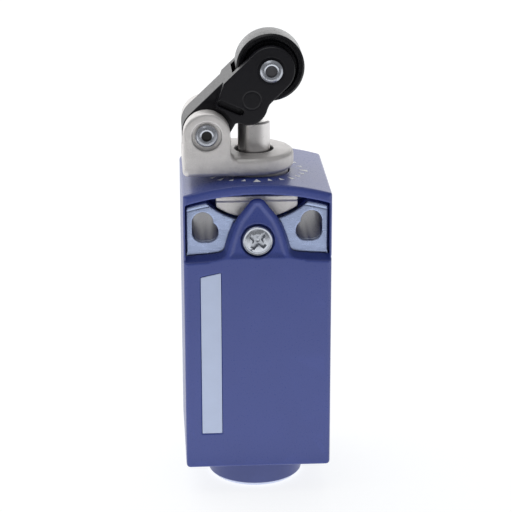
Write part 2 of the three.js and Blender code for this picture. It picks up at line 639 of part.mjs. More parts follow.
function headBracket() {
  const plan = new THREE.Shape();
  const corner = 1.2;
  plan.absarc(-NOSE_SETBACK, HEAD_Y, BRACKET_RADIUS, -Math.PI / 2, Math.PI / 2, false);
  plan.absarc(-BRACKET_REACH + corner, BRACKET_BACK - corner, corner, Math.PI / 2, Math.PI, false);
  plan.absarc(-BRACKET_REACH + corner, BRACKET_FRONT + corner, corner, Math.PI, 1.5 * Math.PI, false);
  plan.closePath();
  const base = upright(plan, BRACKET_BOTTOM, BRACKET_TOP, 12);
  const ears = [BRACKET_FRONT, BRACKET_BACK - EAR_THICKNESS].map(
    (y) => frontal(earShape(), y, y + EAR_THICKNESS, 8));
  const spigot = turned([
    [0, SPIGOT_BOTTOM],
    [SPIGOT_RADIUS, SPIGOT_BOTTOM],
    [SPIGOT_RADIUS, GROOVE_BOTTOM],
    [SPIGOT_RADIUS - GROOVE_DEPTH, GROOVE_BOTTOM],
    [SPIGOT_RADIUS - GROOVE_DEPTH, GROOVE_TOP],
    [SPIGOT_RADIUS, GROOVE_TOP],
    [SPIGOT_RADIUS, BRACKET_BOTTOM + 1],
    [0, BRACKET_BOTTOM + 1],
  ]);
  const seat = RIVET_HEAD_RADIUS + 0.7;
  const at = [PIVOT.x, PIVOT.z];
  return cut(
    join(base, ...ears, spigot),
    rod('z', GUIDE_RADIUS, CHAMBER_TOP - 1, BRACKET_TOP + 1, [0, HEAD_Y], 24),
    rod('z', CHAMBER_RADIUS, SPIGOT_BOTTOM - 1, CHAMBER_TOP, [0, HEAD_Y], 24),
    rod('z', GUIDE_RADIUS + 1.1, WIPER_SEAT, BRACKET_TOP + 1, [0, HEAD_Y], 24),
    rod('y', PIVOT_RADIUS + FIT, BRACKET_FRONT - 1, BRACKET_BACK + 1, at, 16),
    rod('y', seat, BRACKET_FRONT - 1, BRACKET_FRONT + RIVET_SEAT, at, 20),
    rod('y', seat, BRACKET_BACK - RIVET_SEAT, BRACKET_BACK + 1, at, 20),
  );
}

// Tubular rivet along y through (x, z); its heads lie outside the given faces.
function rivet(shank, faceFront, faceBack, at) {
  const y0 = faceFront - RIVET_HEAD;
  const y1 = faceBack + RIVET_HEAD;
  const edge = 0.3;
  return turnedAcross([
    [RIVET_BORE, y0],
    [RIVET_HEAD_RADIUS - edge, y0],
    [RIVET_HEAD_RADIUS, y0 + edge],
    [RIVET_HEAD_RADIUS, faceFront],
    [shank, faceFront],
    [shank, faceBack],
    [RIVET_HEAD_RADIUS, faceBack],
    [RIVET_HEAD_RADIUS, y1 - edge],
    [RIVET_HEAD_RADIUS - edge, y1],
    [RIVET_BORE, y1],
    [RIVET_BORE, y0],
  ], at, 16);
}

part('head_bracket', headBracket(), ZINC);
const PIVOT_SEATS = [BRACKET_FRONT + RIVET_SEAT - GAP / 2, BRACKET_BACK - RIVET_SEAT + GAP / 2];
part('lever_pivot_rivet', rivet(PIVOT_RADIUS, ...PIVOT_SEATS, PIVOT), STEEL);

// ---------- Plunger and its fittings ----------
const SHOULDER_TOP = CHAMBER_TOP - GAP;
const STEM_TOP = BORE_BOTTOM - 2;
const RETAINER_TOP = SPIGOT_BOTTOM + 1.4;

part('plunger', turned([
  [0, STEM_TOP + GAP],
  [ROD_RADIUS, STEM_TOP + GAP],
  [ROD_RADIUS, SHOULDER_TOP - SHOULDER],
  [CHAMBER_RADIUS - GAP, SHOULDER_TOP - SHOULDER],
  [CHAMBER_RADIUS - GAP, SHOULDER_TOP],
  [PLUNGER_RADIUS, SHOULDER_TOP],
  [PLUNGER_RADIUS, PLUNGER_TOP - 0.4],
  [PLUNGER_RADIUS - 0.4, PLUNGER_TOP],
  [0, PLUNGER_TOP],
], 24), STEEL);
part('plunger_wiper', cut(
  rod('z', GUIDE_RADIUS + 0.8, WIPER_SEAT + GAP, BRACKET_TOP + 0.4, [0, HEAD_Y], 24),
  rod('z', GUIDE_RADIUS, WIPER_SEAT - 1, BRACKET_TOP + 2, [0, HEAD_Y], 24),
), RUBBER);
part('plunger_retainer', cut(
  rod('z', CHAMBER_RADIUS - GAP, SPIGOT_BOTTOM, RETAINER_TOP, [0, HEAD_Y], 24),
  rod('z', ROD_RADIUS + GAP, SPIGOT_BOTTOM - 1, RETAINER_TOP + 1, [0, HEAD_Y], 24),
), STEEL);
part('plunger_return_spring',
  spring(ROD_RADIUS + 1.3, 0.6, RETAINER_TOP + GAP, SHOULDER_TOP - SHOULDER - GAP, 4), STEEL);

function sealRing() {
  const geometry = new THREE.TorusGeometry(SEAL_RADIUS, SEAL_SECTION, 6, 24);
  return geometry.translate(0, HEAD_Y, SEAL_Z);
}

part('head_seal_ring', sealRing(), RUBBER);

// ---------- Lever, roller and axle ----------
const NECK_FRONT = HEAD_Y - NECK_WIDTH / 2;
const NECK_BACK = HEAD_Y + NECK_WIDTH / 2;
const FORK_FRONT = HEAD_Y - FORK_WIDTH / 2;
const FORK_BACK = HEAD_Y + FORK_WIDTH / 2;
const PRESSER_Z = PLUNGER_TOP + GAP + PRESSER_RADIUS;
const LOBE_X = -PRESSER_SETBACK;

// Outline round both ends of the lever, with the presser's lobe over the plunger.
function leverOutline(fromPivot) {
  const lean = Math.asin((LEVER_RADIUS - FORK_RADIUS) / LEVER_LENGTH);
  const topTangent = LEVER_TILT + Math.PI / 2 - lean;
  const shape = new THREE.Shape();
  if (fromPivot) {
    const heel = PIVOT_HEIGHT - GAP - 0.05;
    shape.absarc(PIVOT.x, PIVOT.z, LEVER_RADIUS, topTangent, 1.1 * Math.PI, false);
    shape.absarc(PIVOT.x, PIVOT.z, heel, 1.1 * Math.PI, 1.84 * Math.PI, false);
  } else {
    const direction = LEVER_TILT - lean;
    shape.moveTo(
      PIVOT.x + LEVER_RADIUS * Math.cos(topTangent) + FORK_START * Math.cos(direction),
      PIVOT.z + LEVER_RADIUS * Math.sin(topTangent) + FORK_START * Math.sin(direction),
    );
    shape.absarc(PIVOT.x, PIVOT.z, LEVER_RADIUS + EAR_CLEARANCE, 0.39 * Math.PI, 0.1 * Math.PI, true);
  }
  const lowest = LEVER_TILT - Math.PI / 2;
  shape.absarc(LOBE_X, PRESSER_Z, PRESSER_RADIUS, -0.66 * Math.PI, -Math.PI / 15, false);
  shape.lineTo(
    AXLE.x + FORK_RADIUS * Math.cos(lowest) - FORK_RUN * Math.cos(LEVER_TILT),
    AXLE.z + FORK_RADIUS * Math.sin(lowest) - FORK_RUN * Math.sin(LEVER_TILT),
  );
  shape.absarc(AXLE.x, AXLE.z, FORK_RADIUS, lowest, topTangent, false);
  shape.closePath();
  return shape;
}

// Moulded hollow in each cheek, beside the ear.
function cheekHollows() {
  const from = { x: PIVOT.x + 2.9, z: PIVOT.z + 6.1 };
  const to = { x: PIVOT.x + 6.9, z: PIVOT.z + 4.3 };
  const radius = 0.6;
  const depth = 1.2;
  const tilt = Math.atan2(to.z - from.z, to.x - from.x);
  const outline = new THREE.Shape();
  outline.absarc(to.x, to.z, radius, tilt - Math.PI / 2, tilt + Math.PI / 2, false);
  outline.absarc(from.x, from.z, radius, tilt + Math.PI / 2, tilt + 1.5 * Math.PI, false);
  outline.closePath();
  return join(frontal(outline, FORK_FRONT - 1, FORK_FRONT + depth, 4),
    frontal(outline, FORK_BACK - depth, FORK_BACK + 1, 4));
}

function leverArm() {
  const neck = frontal(leverOutline(true), NECK_FRONT, NECK_BACK, 10);
  const fork = frontal(leverOutline(false), FORK_FRONT, FORK_BACK, 10);
  const rollerSlot = rod('y', ROLLER_RADIUS + 0.8, HEAD_Y - ROLLER_WIDTH / 2 - GAP,
    HEAD_Y + ROLLER_WIDTH / 2 + GAP, [AXLE.x, AXLE.z], 28);
  return cut(
    join(neck, fork),
    rollerSlot,
    cheekHollows(),
    rod('y', PIVOT_RADIUS + FIT, FORK_FRONT - 1, FORK_BACK + 1, [PIVOT.x, PIVOT.z], 16),
    rod('y', AXLE_RADIUS + FIT, FORK_FRONT - 1, FORK_BACK + 1, [AXLE.x, AXLE.z], 16),
  );
}

function roller() {
  const y0 = HEAD_Y - ROLLER_WIDTH / 2;
  const y1 = HEAD_Y + ROLLER_WIDTH / 2;
  const rim = ROLLER_RADIUS - 1.3;
  const hub = AXLE_RADIUS + 1.5;
  const dish = 0.6;
  const edge = 0.35;
  const bore = AXLE_RADIUS + FIT;
  return turnedAcross([
    [bore, y0],
    [hub, y0],
    [hub + 0.3, y0 + dish],
    [rim - 0.3, y0 + dish],
    [rim, y0],
    [ROLLER_RADIUS - edge, y0],
    [ROLLER_RADIUS, y0 + edge],
    [ROLLER_RADIUS, y1 - edge],
    [ROLLER_RADIUS - edge, y1],
    [rim, y1],
    [rim - 0.3, y1 - dish],
    [hub + 0.3, y1 - dish],
    [hub, y1],
    [bore, y1],
    [bore, y0],
  ], AXLE, 28);
}

part('lever_arm', leverArm(), BLACK);
part('roller', roller(), BLACK);
part('roller_axle_rivet', rivet(AXLE_RADIUS, FORK_FRONT - GAP / 2, FORK_BACK + GAP / 2, AXLE), STEEL);

// ---------- Contact block ----------
const BLOCK_FRONT = HEAD_Y - 5.2;
const BLOCK_BACK = BLOCK_FRONT + BLOCK_DEPTH;
const TERMINAL_TOP = BLOCK_TOP - 6.5;
const TERMINAL_BOTTOM = TERMINAL_TOP - TERMINAL_PITCH;
const BRIDGE_TOP = (TERMINAL_TOP + TERMINAL_BOTTOM) / 2 + 2.4;
const TAB_FRONT = BLOCK_FRONT - GAP - STRIP;
const CLAMP_FRONT = TAB_FRONT - GAP - CLAMP;
const UPPER_STRIP = BRIDGE_TOP + GAP;
const LOWER_STRIP = BRIDGE_TOP - BRIDGE - PLUNGER_TRAVEL - GAP - STRIP;

// The four terminals: the upper pair is closed at rest, the lower pair closes when pressed.
const TERMINALS = [
  { name: 'nc_left', side: -1, screwZ: TERMINAL_TOP, stripZ: UPPER_STRIP },
  { name: 'nc_right', side: 1, screwZ: TERMINAL_TOP, stripZ: UPPER_STRIP },
  { name: 'no_left', side: -1, screwZ: TERMINAL_BOTTOM, stripZ: LOWER_STRIP },
  { name: 'no_right', side: 1, screwZ: TERMINAL_BOTTOM, stripZ: LOWER_STRIP },
];

// A box given for the right-hand side and mirrored for the left.
function sideBox(side, x0, x1, y0, y1, z0, z1) {
  return side > 0 ? box(x0, x1, y0, y1, z0, z1) : box(-x1, -x0, y0, y1, z0, z1);
}

function fixedContact({ side, screwZ, stripZ }) {
  const x = TERMINAL_SPACING / 2;
  const tabLow = Math.min(stripZ, screwZ - 2.6);
  const tabHigh = Math.max(stripZ + STRIP, screwZ + 2.6);
  return cut(
    join(
      sideBox(side, STEM_RADIUS + 2.4, x + 0.4, HEAD_Y - 1.6, HEAD_Y + 1.6, stripZ, stripZ + STRIP),
      sideBox(side, x - 1.6, x + 0.4, TAB_FRONT + 0.1, HEAD_Y - 1, stripZ, stripZ + STRIP),
      sideBox(side, x - 2.5, x + 2.5, TAB_FRONT, TAB_FRONT + STRIP, tabLow, tabHigh),
    ),
    rod('y', SCREW_RADIUS + GAP, TAB_FRONT - 1, TAB_FRONT + STRIP + 1, [side * x, screwZ], 12),
  );
}

function terminalScrew({ side, screwZ }) {
  const headBack = CLAMP_FRONT - GAP;
  const body = turnedAcross([
    [0, headBack - 1.6],
    [2.3, headBack - 1.6],
    [2.6, headBack - 1.3],
    [2.6, headBack],
    [SCREW_RADIUS, headBack],
    [SCREW_RADIUS, BLOCK_FRONT + BLOCK_WALL - 0.2],
    [0, BLOCK_FRONT + BLOCK_WALL - 0.2],
  ], { x: side * TERMINAL_SPACING / 2, z: screwZ }, 16);
  const slot = sideBox(side, TERMINAL_SPACING / 2 - 3, TERMINAL_SPACING / 2 + 3,
    headBack - 3, headBack - 0.9, screwZ - 0.35, screwZ + 0.35);
  return cut(body, slot);
}

function clampWasher({ side, screwZ }) {
  const x = TERMINAL_SPACING / 2;
  return cut(
    sideBox(side, x - 2.8, x + 2.8, CLAMP_FRONT, CLAMP_FRONT + CLAMP, screwZ - 2.8, screwZ + 2.8),
    rod('y', SCREW_RADIUS + GAP, CLAMP_FRONT - 1, CLAMP_FRONT + 2, [side * x, screwZ], 12),
  );
}

function contactCase() {
  const halfWidth = BLOCK_WIDTH / 2;
  const inside = halfWidth - BLOCK_WALL;
  const passages = TERMINALS.map(({ side, screwZ, stripZ }) => join(
    sideBox(side, TERMINAL_SPACING / 2 - 1.9, TERMINAL_SPACING / 2 + 0.7, BLOCK_FRONT - 1, HEAD_Y,
      stripZ - GAP, stripZ + STRIP + GAP),
    rod('y', SCREW_RADIUS + GAP, BLOCK_FRONT - 1, BLOCK_FRONT + BLOCK_WALL + 1,
      [side * TERMINAL_SPACING / 2, screwZ], 12),
  ));
  return cut(
    box(-halfWidth, halfWidth, BLOCK_FRONT, BLOCK_BACK, BLOCK_BOTTOM, BLOCK_TOP),
    box(-inside, inside, BLOCK_FRONT + BLOCK_WALL, BLOCK_BACK + 1, BLOCK_BOTTOM + BLOCK_WALL,
      BLOCK_TOP - BLOCK_WALL),
    rod('z', STEM_RADIUS + GAP, BLOCK_TOP - BLOCK_WALL - 1, BLOCK_TOP + 1, [0, HEAD_Y], 16),
    ...passages,
  );
}

part('contact_case', contactCase(), IVORY);
part('contact_lid', box(-BLOCK_WIDTH / 2, BLOCK_WIDTH / 2, BLOCK_BACK + GAP, BLOCK_BACK + GAP + 1.5,
  BLOCK_BOTTOM, BLOCK_TOP), IVORY);
part('contact_stem', turned([
  [0, BLOCK_BOTTOM + BLOCK_WALL + PLUNGER_TRAVEL + 2],
  [PIN_RADIUS, BLOCK_BOTTOM + BLOCK_WALL + PLUNGER_TRAVEL + 2],
  [PIN_RADIUS, BRIDGE_TOP + GAP],
  [STEM_FLANGE_RADIUS, BRIDGE_TOP + GAP],
  [STEM_FLANGE_RADIUS, BRIDGE_TOP + GAP + 1],
  [STEM_RADIUS, BRIDGE_TOP + GAP + 1],
  [STEM_RADIUS, STEM_TOP],
  [0, STEM_TOP],
], 16), BLACK);
part('contact_bridge', cut(
  box(-TERMINAL_SPACING / 2 + 0.8, TERMINAL_SPACING / 2 - 0.8, HEAD_Y - 2, HEAD_Y + 2,
    BRIDGE_TOP - BRIDGE, BRIDGE_TOP),
  rod('z', PIN_RADIUS + GAP, BRIDGE_TOP - BRIDGE - 1, BRIDGE_TOP + 1, [0, HEAD_Y], 16),
), BRASS);
part('contact_spring',
  spring(PIN_RADIUS + 0.8, 0.5, BLOCK_BOTTOM + BLOCK_WALL + GAP, BRIDGE_TOP - BRIDGE - GAP, 7), STEEL);

TERMINALS.forEach((terminal) => {
  part(`fixed_contact_${terminal.name}`, fixedContact(terminal), BRASS);
  part(`clamp_washer_${terminal.name}`, clampWasher(terminal), STEEL);
  part(`terminal_screw_${terminal.name}`, terminalScrew(terminal), STEEL);
});

export default group;
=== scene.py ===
"""Looks of a compact limit switch with a turnable roller lever head.

Shapes are worked out in millimetres in the part's own frame: +Z up, the cover facing -Y.
Places come from the CAD nodes' boxes, and each finished piece is scaled to metres.
"""
import json
import math

import bmesh
import bpy
import numpy as np
from mathutils import Matrix, Vector


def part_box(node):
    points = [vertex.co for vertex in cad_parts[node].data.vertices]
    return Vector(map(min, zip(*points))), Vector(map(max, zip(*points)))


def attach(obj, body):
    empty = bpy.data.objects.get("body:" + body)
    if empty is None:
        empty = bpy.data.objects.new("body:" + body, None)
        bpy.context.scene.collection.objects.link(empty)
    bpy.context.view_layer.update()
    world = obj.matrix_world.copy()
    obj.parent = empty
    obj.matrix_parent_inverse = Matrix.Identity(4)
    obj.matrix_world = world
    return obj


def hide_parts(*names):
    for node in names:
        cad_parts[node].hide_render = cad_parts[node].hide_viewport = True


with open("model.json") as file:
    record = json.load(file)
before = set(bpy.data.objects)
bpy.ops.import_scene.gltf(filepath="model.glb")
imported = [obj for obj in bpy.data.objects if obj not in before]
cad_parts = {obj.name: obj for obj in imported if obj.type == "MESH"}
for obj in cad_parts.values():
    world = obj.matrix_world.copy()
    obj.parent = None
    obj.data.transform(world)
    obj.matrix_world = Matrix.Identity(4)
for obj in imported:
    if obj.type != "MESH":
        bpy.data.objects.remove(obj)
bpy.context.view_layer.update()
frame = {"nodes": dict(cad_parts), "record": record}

MM = 0.001


def span(node):
    """Lowest and highest corner of a CAD node in millimetres."""
    low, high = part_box(node)
    return low / MM, high / MM


# ---------- Sizes, in millimetres ----------
BODY_LOW, BODY_HIGH = span("housing")
COVER_HIGH = span("front_cover")[1]
PLATE_LOW, PLATE_HIGH = span("fixing_plate")
LOCK_LOW, LOCK_HIGH = span("head_lock_slide")
ENTRY_HIGH = span("cable_entry")[1]
BRACKET_LOW, BRACKET_HIGH = span("head_bracket")
SEAT_LOW, SEAT_HIGH = span("lever_pivot_rivet")
AXLE_LOW, AXLE_HIGH = span("roller_axle_rivet")
ROLLER_LOW, ROLLER_HIGH = span("roller")
PLUNGER_LOW, PLUNGER_HIGH = span("plunger")
WIPER_LOW = span("plunger_wiper")[0]
SCREW_LOW, SCREW_HIGH = span("cover_screw")
LABEL_LOW, LABEL_HIGH = span("cover_label")
PIN_LOW, PIN_HIGH = span("cover_hinge_pin_right")
SEAL_LOW, SEAL_HIGH = span("head_seal_ring")

GAP = 0.3
FIT = 0.15
HALF = BODY_HIGH.x
FRONT = BODY_LOW.y
BACK = BODY_HIGH.y
UNDERSIDE = BODY_LOW.z
CROWN = BODY_HIGH.z
CROWN_RISE = 2.2
CROWN_RADIUS = (HALF ** 2 + CROWN_RISE ** 2) / (2 * CROWN_RISE)
CORNER = 1.0
BODY_EDGE = 0.6
LIP_HEIGHT = 2.05
CREASE_DROP = 15.75
CREASE = CROWN - CREASE_DROP
CREASE_RISE = 0.6
CREASE_RADIUS = (HALF ** 2 + CREASE_RISE ** 2) / (2 * CREASE_RISE)
SLOPE = 0.44
SIDE_RIM = 0.4
COVER_WALL = 2.0
HOUSING_WALL = 3.0
FLOOR = 2.0
PLATE_FRONT = PLATE_LOW.y
PLATE_BACK = PLATE_HIGH.y
PLATE_TOP_DROP = 3.3
PLATE_LAP = 1.2
PLATE_NEAR = PLATE_FRONT - GAP
PLATE_TOP = CROWN - PLATE_TOP_DROP
PLATE_BOTTOM = CREASE + SLOPE * (PLATE_NEAR - FRONT) - PLATE_LAP
BLOCK_FACE = PLATE_BACK + GAP
CEILING_CLEARANCE = 0.7
COVER_CEILING = PLATE_BOTTOM - CEILING_CLEARANCE
CAVITY_TOP = COVER_CEILING - COVER_WALL
PARTING = 0.5
HOUSING_FRONT = COVER_HIGH.y + PARTING
SCREW_X = (SCREW_LOW.x + SCREW_HIGH.x) / 2
SCREW_Z = (SCREW_LOW.z + SCREW_HIGH.z) / 2
SCREW_HEAD_RADIUS = SCREW_HIGH.z - SCREW_Z
SCREW_HEAD = 1.25
SCREW_SHANK = 1.4
FIXING_DROP = 10.45
FIXING_Z = CROWN - FIXING_DROP
ROUND_HOLE_X = 10.0
SLOT_X = 11.0
SLOT_RISE = 1.0
FIXING_RADIUS = 2.15
SLOT_REACH = 1.0
CUT_RADIUS = 14.85
CUT_RISE = 6.35
CUT_CENTRE = CROWN + CUT_RISE
LOCK_FLANGE = 1.2
LOCK_CLEARANCE = 0.4
NOTCH_DEPTH = 2.0
KNUCKLE_X = 10
KNUCKLE_RADIUS = 1.0
PIN_BORE = 0.6
HINGE_Y = (PIN_LOW.y + PIN_HIGH.y) / 2
HINGE_Z = (PIN_LOW.z + PIN_HIGH.z) / 2
HEAD_Y = (BRACKET_LOW.y + BRACKET_HIGH.y) / 2
BRACKET_RADIUS = (BRACKET_HIGH.y - BRACKET_LOW.y) / 2
BRACKET_LIFT = 0.35
BRACKET_BASE = 3.7
BRACKET_BOTTOM = CROWN + BRACKET_LIFT
BRACKET_TOP = BRACKET_BOTTOM + BRACKET_BASE
NOSE_SETBACK = 0.6
EAR_THICKNESS = 4.0
SPIGOT_RADIUS = 7.0
GROOVE_DROP = 5.4
GROOVE_HEIGHT = 2.2
GROOVE_DEPTH = 1.4
GROOVE_TOP = BRACKET_BOTTOM - GROOVE_DROP
GROOVE_BOTTOM = GROOVE_TOP - GROOVE_HEIGHT
GROOVE_RADIUS = SPIGOT_RADIUS - GROOVE_DEPTH
CHAMBER_TOP = BRACKET_TOP - 2.7
PIVOT_X = (SEAT_LOW.x + SEAT_HIGH.x) / 2
PIVOT_Z = (SEAT_LOW.z + SEAT_HIGH.z) / 2
AXLE_X = (AXLE_LOW.x + AXLE_HIGH.x) / 2
AXLE_Z = (AXLE_LOW.z + AXLE_HIGH.z) / 2
PIVOT_RADIUS = 1.9
AXLE_RADIUS = 1.6
LEVER_RADIUS = 4.85
FORK_RADIUS = 4.75
NECK_HALF = 4.4
FORK_HALF = 6.2
LOBE_RADIUS = 4.1
LOBE_X = -1.6
LOBE_Z = PLUNGER_HIGH.z + GAP + LOBE_RADIUS
PLUNGER_RADIUS = 3.3
GUIDE_RADIUS = PLUNGER_RADIUS + GAP
WIPER_WALL = 0.4
DIAL_RADIUS = 9.2


# ---------- Outlines ----------
def arc(x, z, radius, start, end, steps=24):
    """Points on an arc, angles in parts of pi."""
    turns = [start + (end - start) * k / steps for k in range(steps + 1)]
    return [(x + radius * math.cos(t * math.pi), z + radius * math.sin(t * math.pi)) for t in turns]


def curve(p, q, r, steps=12):
    """Points on a quadratic curve from p to r, bent towards q, without its first point."""
    points = []
    for k in range(1, steps + 1):
        t = k / steps
        points.append(tuple((1 - t) ** 2 * a + 2 * t * (1 - t) * b + t * t * c for a, b, c in zip(p, q, r)))
    return points


def arch(half_width, bottom, level, radius=CROWN_RADIUS, steps=40):
    """Straight sides and foot under an arch, the crown's unless told otherwise."""
    angle = math.asin(half_width / radius) / math.pi
    crown = arc(0, level - radius, radius, 0.5 - angle, 0.5 + angle, steps)
    return [(-half_width, bottom), (half_width, bottom)] + crown


def rectangle(a0, a1, b0, b1):
    return [(a0, b0), (a1, b0), (a1, b1), (a0, b1)]


def rounded(points, radius, steps=5):
    """A closed outline with its corners rounded; corners on the axis of a turned piece stay."""
    result = []
    for i, point in enumerate(points):
        before, here, after = (Vector(points[j % len(points)]) for j in (i - 1, i, i + 1))
        to_before, to_after = before - here, after - here
        reach = 0.45 * min(to_before.length, to_after.length)
        to_before.normalize()
        to_after.normalize()
        half_angle = to_before.angle(to_after) / 2
        if radius <= 0 or half_angle > 0.48 * math.pi or abs(here.x) < 1e-6:
            result.append(tuple(here))
            continue
        tangent = min(radius / math.tan(half_angle), reach)
        centre = here + (to_before + to_after).normalized() * tangent / math.cos(half_angle)
        first = here + to_before * tangent - centre
        last = here + to_after * tangent - centre
        start, end = math.atan2(first.y, first.x), math.atan2(last.y, last.x)
        sweep = (end - start + math.pi) % (2 * math.pi) - math.pi
        for k in range(steps + 1):
            turn = start + sweep * k / steps
            result.append(tuple(centre + Vector((math.cos(turn), math.sin(turn))) * first.length))
    return result


def signed_area(points):
    return sum(a[0] * b[1] - b[0] * a[1] for a, b in zip(points, points[1:] + points[:1])) / 2


def inset(points, distance):
    """The outline moved inwards along its corners."""
    moved = []
    for i in range(len(points)):
        before, here, after = (Vector(points[j % len(points)]) for j in (i - 1, i, i + 1))
        first, second = (here - before).normalized(), (after - here).normalized()
        normal_a, normal_b = Vector((-first.y, first.x)), Vector((-second.y, second.x))
        moved.append(tuple(here + (normal_a + normal_b) * distance / max(1 + normal_a.dot(normal_b), 0.3)))
    return moved


# ---------- Solids ----------
def place(axis, a, b, along):
    """A section's point and its level as x, y, z."""
    return {"x": (along, a, b), "y": (a, along, b), "z": (a, b, along)}[axis]


def add_mesh(name, points, faces):
    mesh = bpy.data.meshes.new(name)
    mesh.from_pydata(points, [], faces)
    shape = bmesh.new()
    shape.from_mesh(mesh)
    bmesh.ops.remove_doubles(shape, verts=shape.verts, dist=1e-6)
    bmesh.ops.triangulate(shape, faces=[f for f in shape.faces if len(f.verts) > 4])
    bmesh.ops.recalc_face_normals(shape, faces=shape.faces)
    shape.to_mesh(mesh)
    shape.free()
    piece = bpy.data.objects.new(name, mesh)
    bpy.context.scene.collection.objects.link(piece)
    return piece


def prism(outline, axis, low, high, edge=0.0, steps=4, name="tool"):
    """An outline given depth along an axis, with the edges of both ends rounded."""
    if signed_area(outline) < 0:
        outline = outline[::-1]
    rings = [(0.0, low), (0.0, high)]
    if edge > 0:
        turns = [k / steps * math.pi / 2 for k in range(steps + 1)]
        first = [(edge * (1 - math.sin(t)), low + edge * (1 - math.cos(t))) for t in turns]
        rings = first + [(inward, high - (level - low)) for inward, level in reversed(first)]
    points, faces, count = [], [], len(outline)
    for inward, level in rings:
        section = inset(outline, inward) if inward > 1e-9 else outline
        points += [place(axis, a, b, level) for a, b in section]
    for ring in range(len(rings) - 1):
        for k in range(count):
            a, b = ring * count + k, ring * count + (k + 1) % count
            faces.append((a, b, b + count, a + count))
    faces.append(tuple(range(count)))
    faces.append(tuple(range(len(points) - count, len(points))))
    return add_mesh(name, points, faces)


def block(x0, x1, y0, y1, z0, z1, edge=0.0):
    return prism(rectangle(x0, x1, z0, z1), "y", y0, y1, edge)


def lathe(profile, axis, centre, edge=0.0, segments=96, name="tool"):
    """A turned solid from a closed (radius, level) profile."""
    profile = rounded(profile, edge)
    points, rings, faces = [], [], []
    for radius, level in profile:
        if radius < 1e-6:
            rings.append([len(points)] * segments)
            points.append(place(axis, centre[0], centre[1], level))
            continue
        rings.append(list(range(len(points), len(points) + segments)))
        for k in range(segments):
            turn = 2 * math.pi * k / segments
            a, b = centre[0] + radius * math.cos(turn), centre[1] + radius * math.sin(turn)
            points.append(place(axis, a, b, level))
    for this, following in zip(rings, rings[1:] + rings[:1]):
        for k in range(segments):
            corners = (this[k], this[(k + 1) % segments], following[(k + 1) % segments], following[k])
            face = tuple(dict.fromkeys(corners))
            if len(face) > 2:
                faces.append(face)
    return add_mesh(name, points, faces)


def rod(axis, radius, low, high, centre, segments=64):
    return lathe([(0, low), (radius, low), (radius, high), (0, high)], axis, centre, 0.0, segments)


def apply_modifiers(piece):
    bpy.context.view_layer.update()
    graph = bpy.context.evaluated_depsgraph_get()
    finished = bpy.data.meshes.new_from_object(piece.evaluated_get(graph))
    before = piece.data
    piece.modifiers.clear()
    piece.data = finished
    bpy.data.meshes.remove(before)


def combine(piece, operation, tools):
    for tool in tools:
        modifier = piece.modifiers.new(operation, "BOOLEAN")
        modifier.operation = operation
        modifier.solver = "MANIFOLD"
        modifier.object = tool
    apply_modifiers(piece)
    for tool in tools:
        bpy.data.objects.remove(tool)
    return piece


def join(piece, *tools):
    return combine(piece, "UNION", tools)


def cut(piece, *tools):
    return combine(piece, "DIFFERENCE", tools)


def common(piece, *tools):
    return combine(piece, "INTERSECT", tools)


def soften(piece, voxel, rounds, keep):
    """Melts the edges together as moulding and casting do."""
    remesh = piece.modifiers.new("voxels", "REMESH")
    remesh.mode = "VOXEL"
    remesh.voxel_size = voxel
    smooth = piece.modifiers.new("smooth", "SMOOTH")
    smooth.factor = 0.5
    smooth.iterations = rounds
    thin = piece.modifiers.new("thin", "DECIMATE")
    thin.ratio = keep
    apply_modifiers(piece)
    return piece


def finish_piece(piece, name, material, body, nodes=(), sharp=None):
    piece.name = name
    piece.data.name = name
    piece.data.transform(Matrix.Scale(MM, 4))
    piece.data.shade_smooth()
    if sharp is not None:
        piece.data.set_sharp_from_angle(angle=math.radians(sharp))
    piece.data.materials.clear()
    piece.data.materials.append(material)
    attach(piece, body)
    if nodes:
        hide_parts(*nodes)
    return piece


# ---------- Materials ----------
def srgb(red, green, blue):
    """A colour given as 0 to 255 in sRGB, as linear values."""
    def linear(value):
        value /= 255
        return value / 12.92 if value <= 0.04045 else ((value + 0.055) / 1.055) ** 2.4
    return tuple(linear(v) for v in (red, green, blue)) + (1.0,)


def scaled(colour, factor):
    return tuple(min(1.0, v * factor) for v in colour[:3]) + (1.0,)


# Pale colour painted on a lower chamfer as a highlight, standing in for its reflection of the white floor.
RIM_HIGHLIGHT_COLOUR = srgb(214, 222, 250)


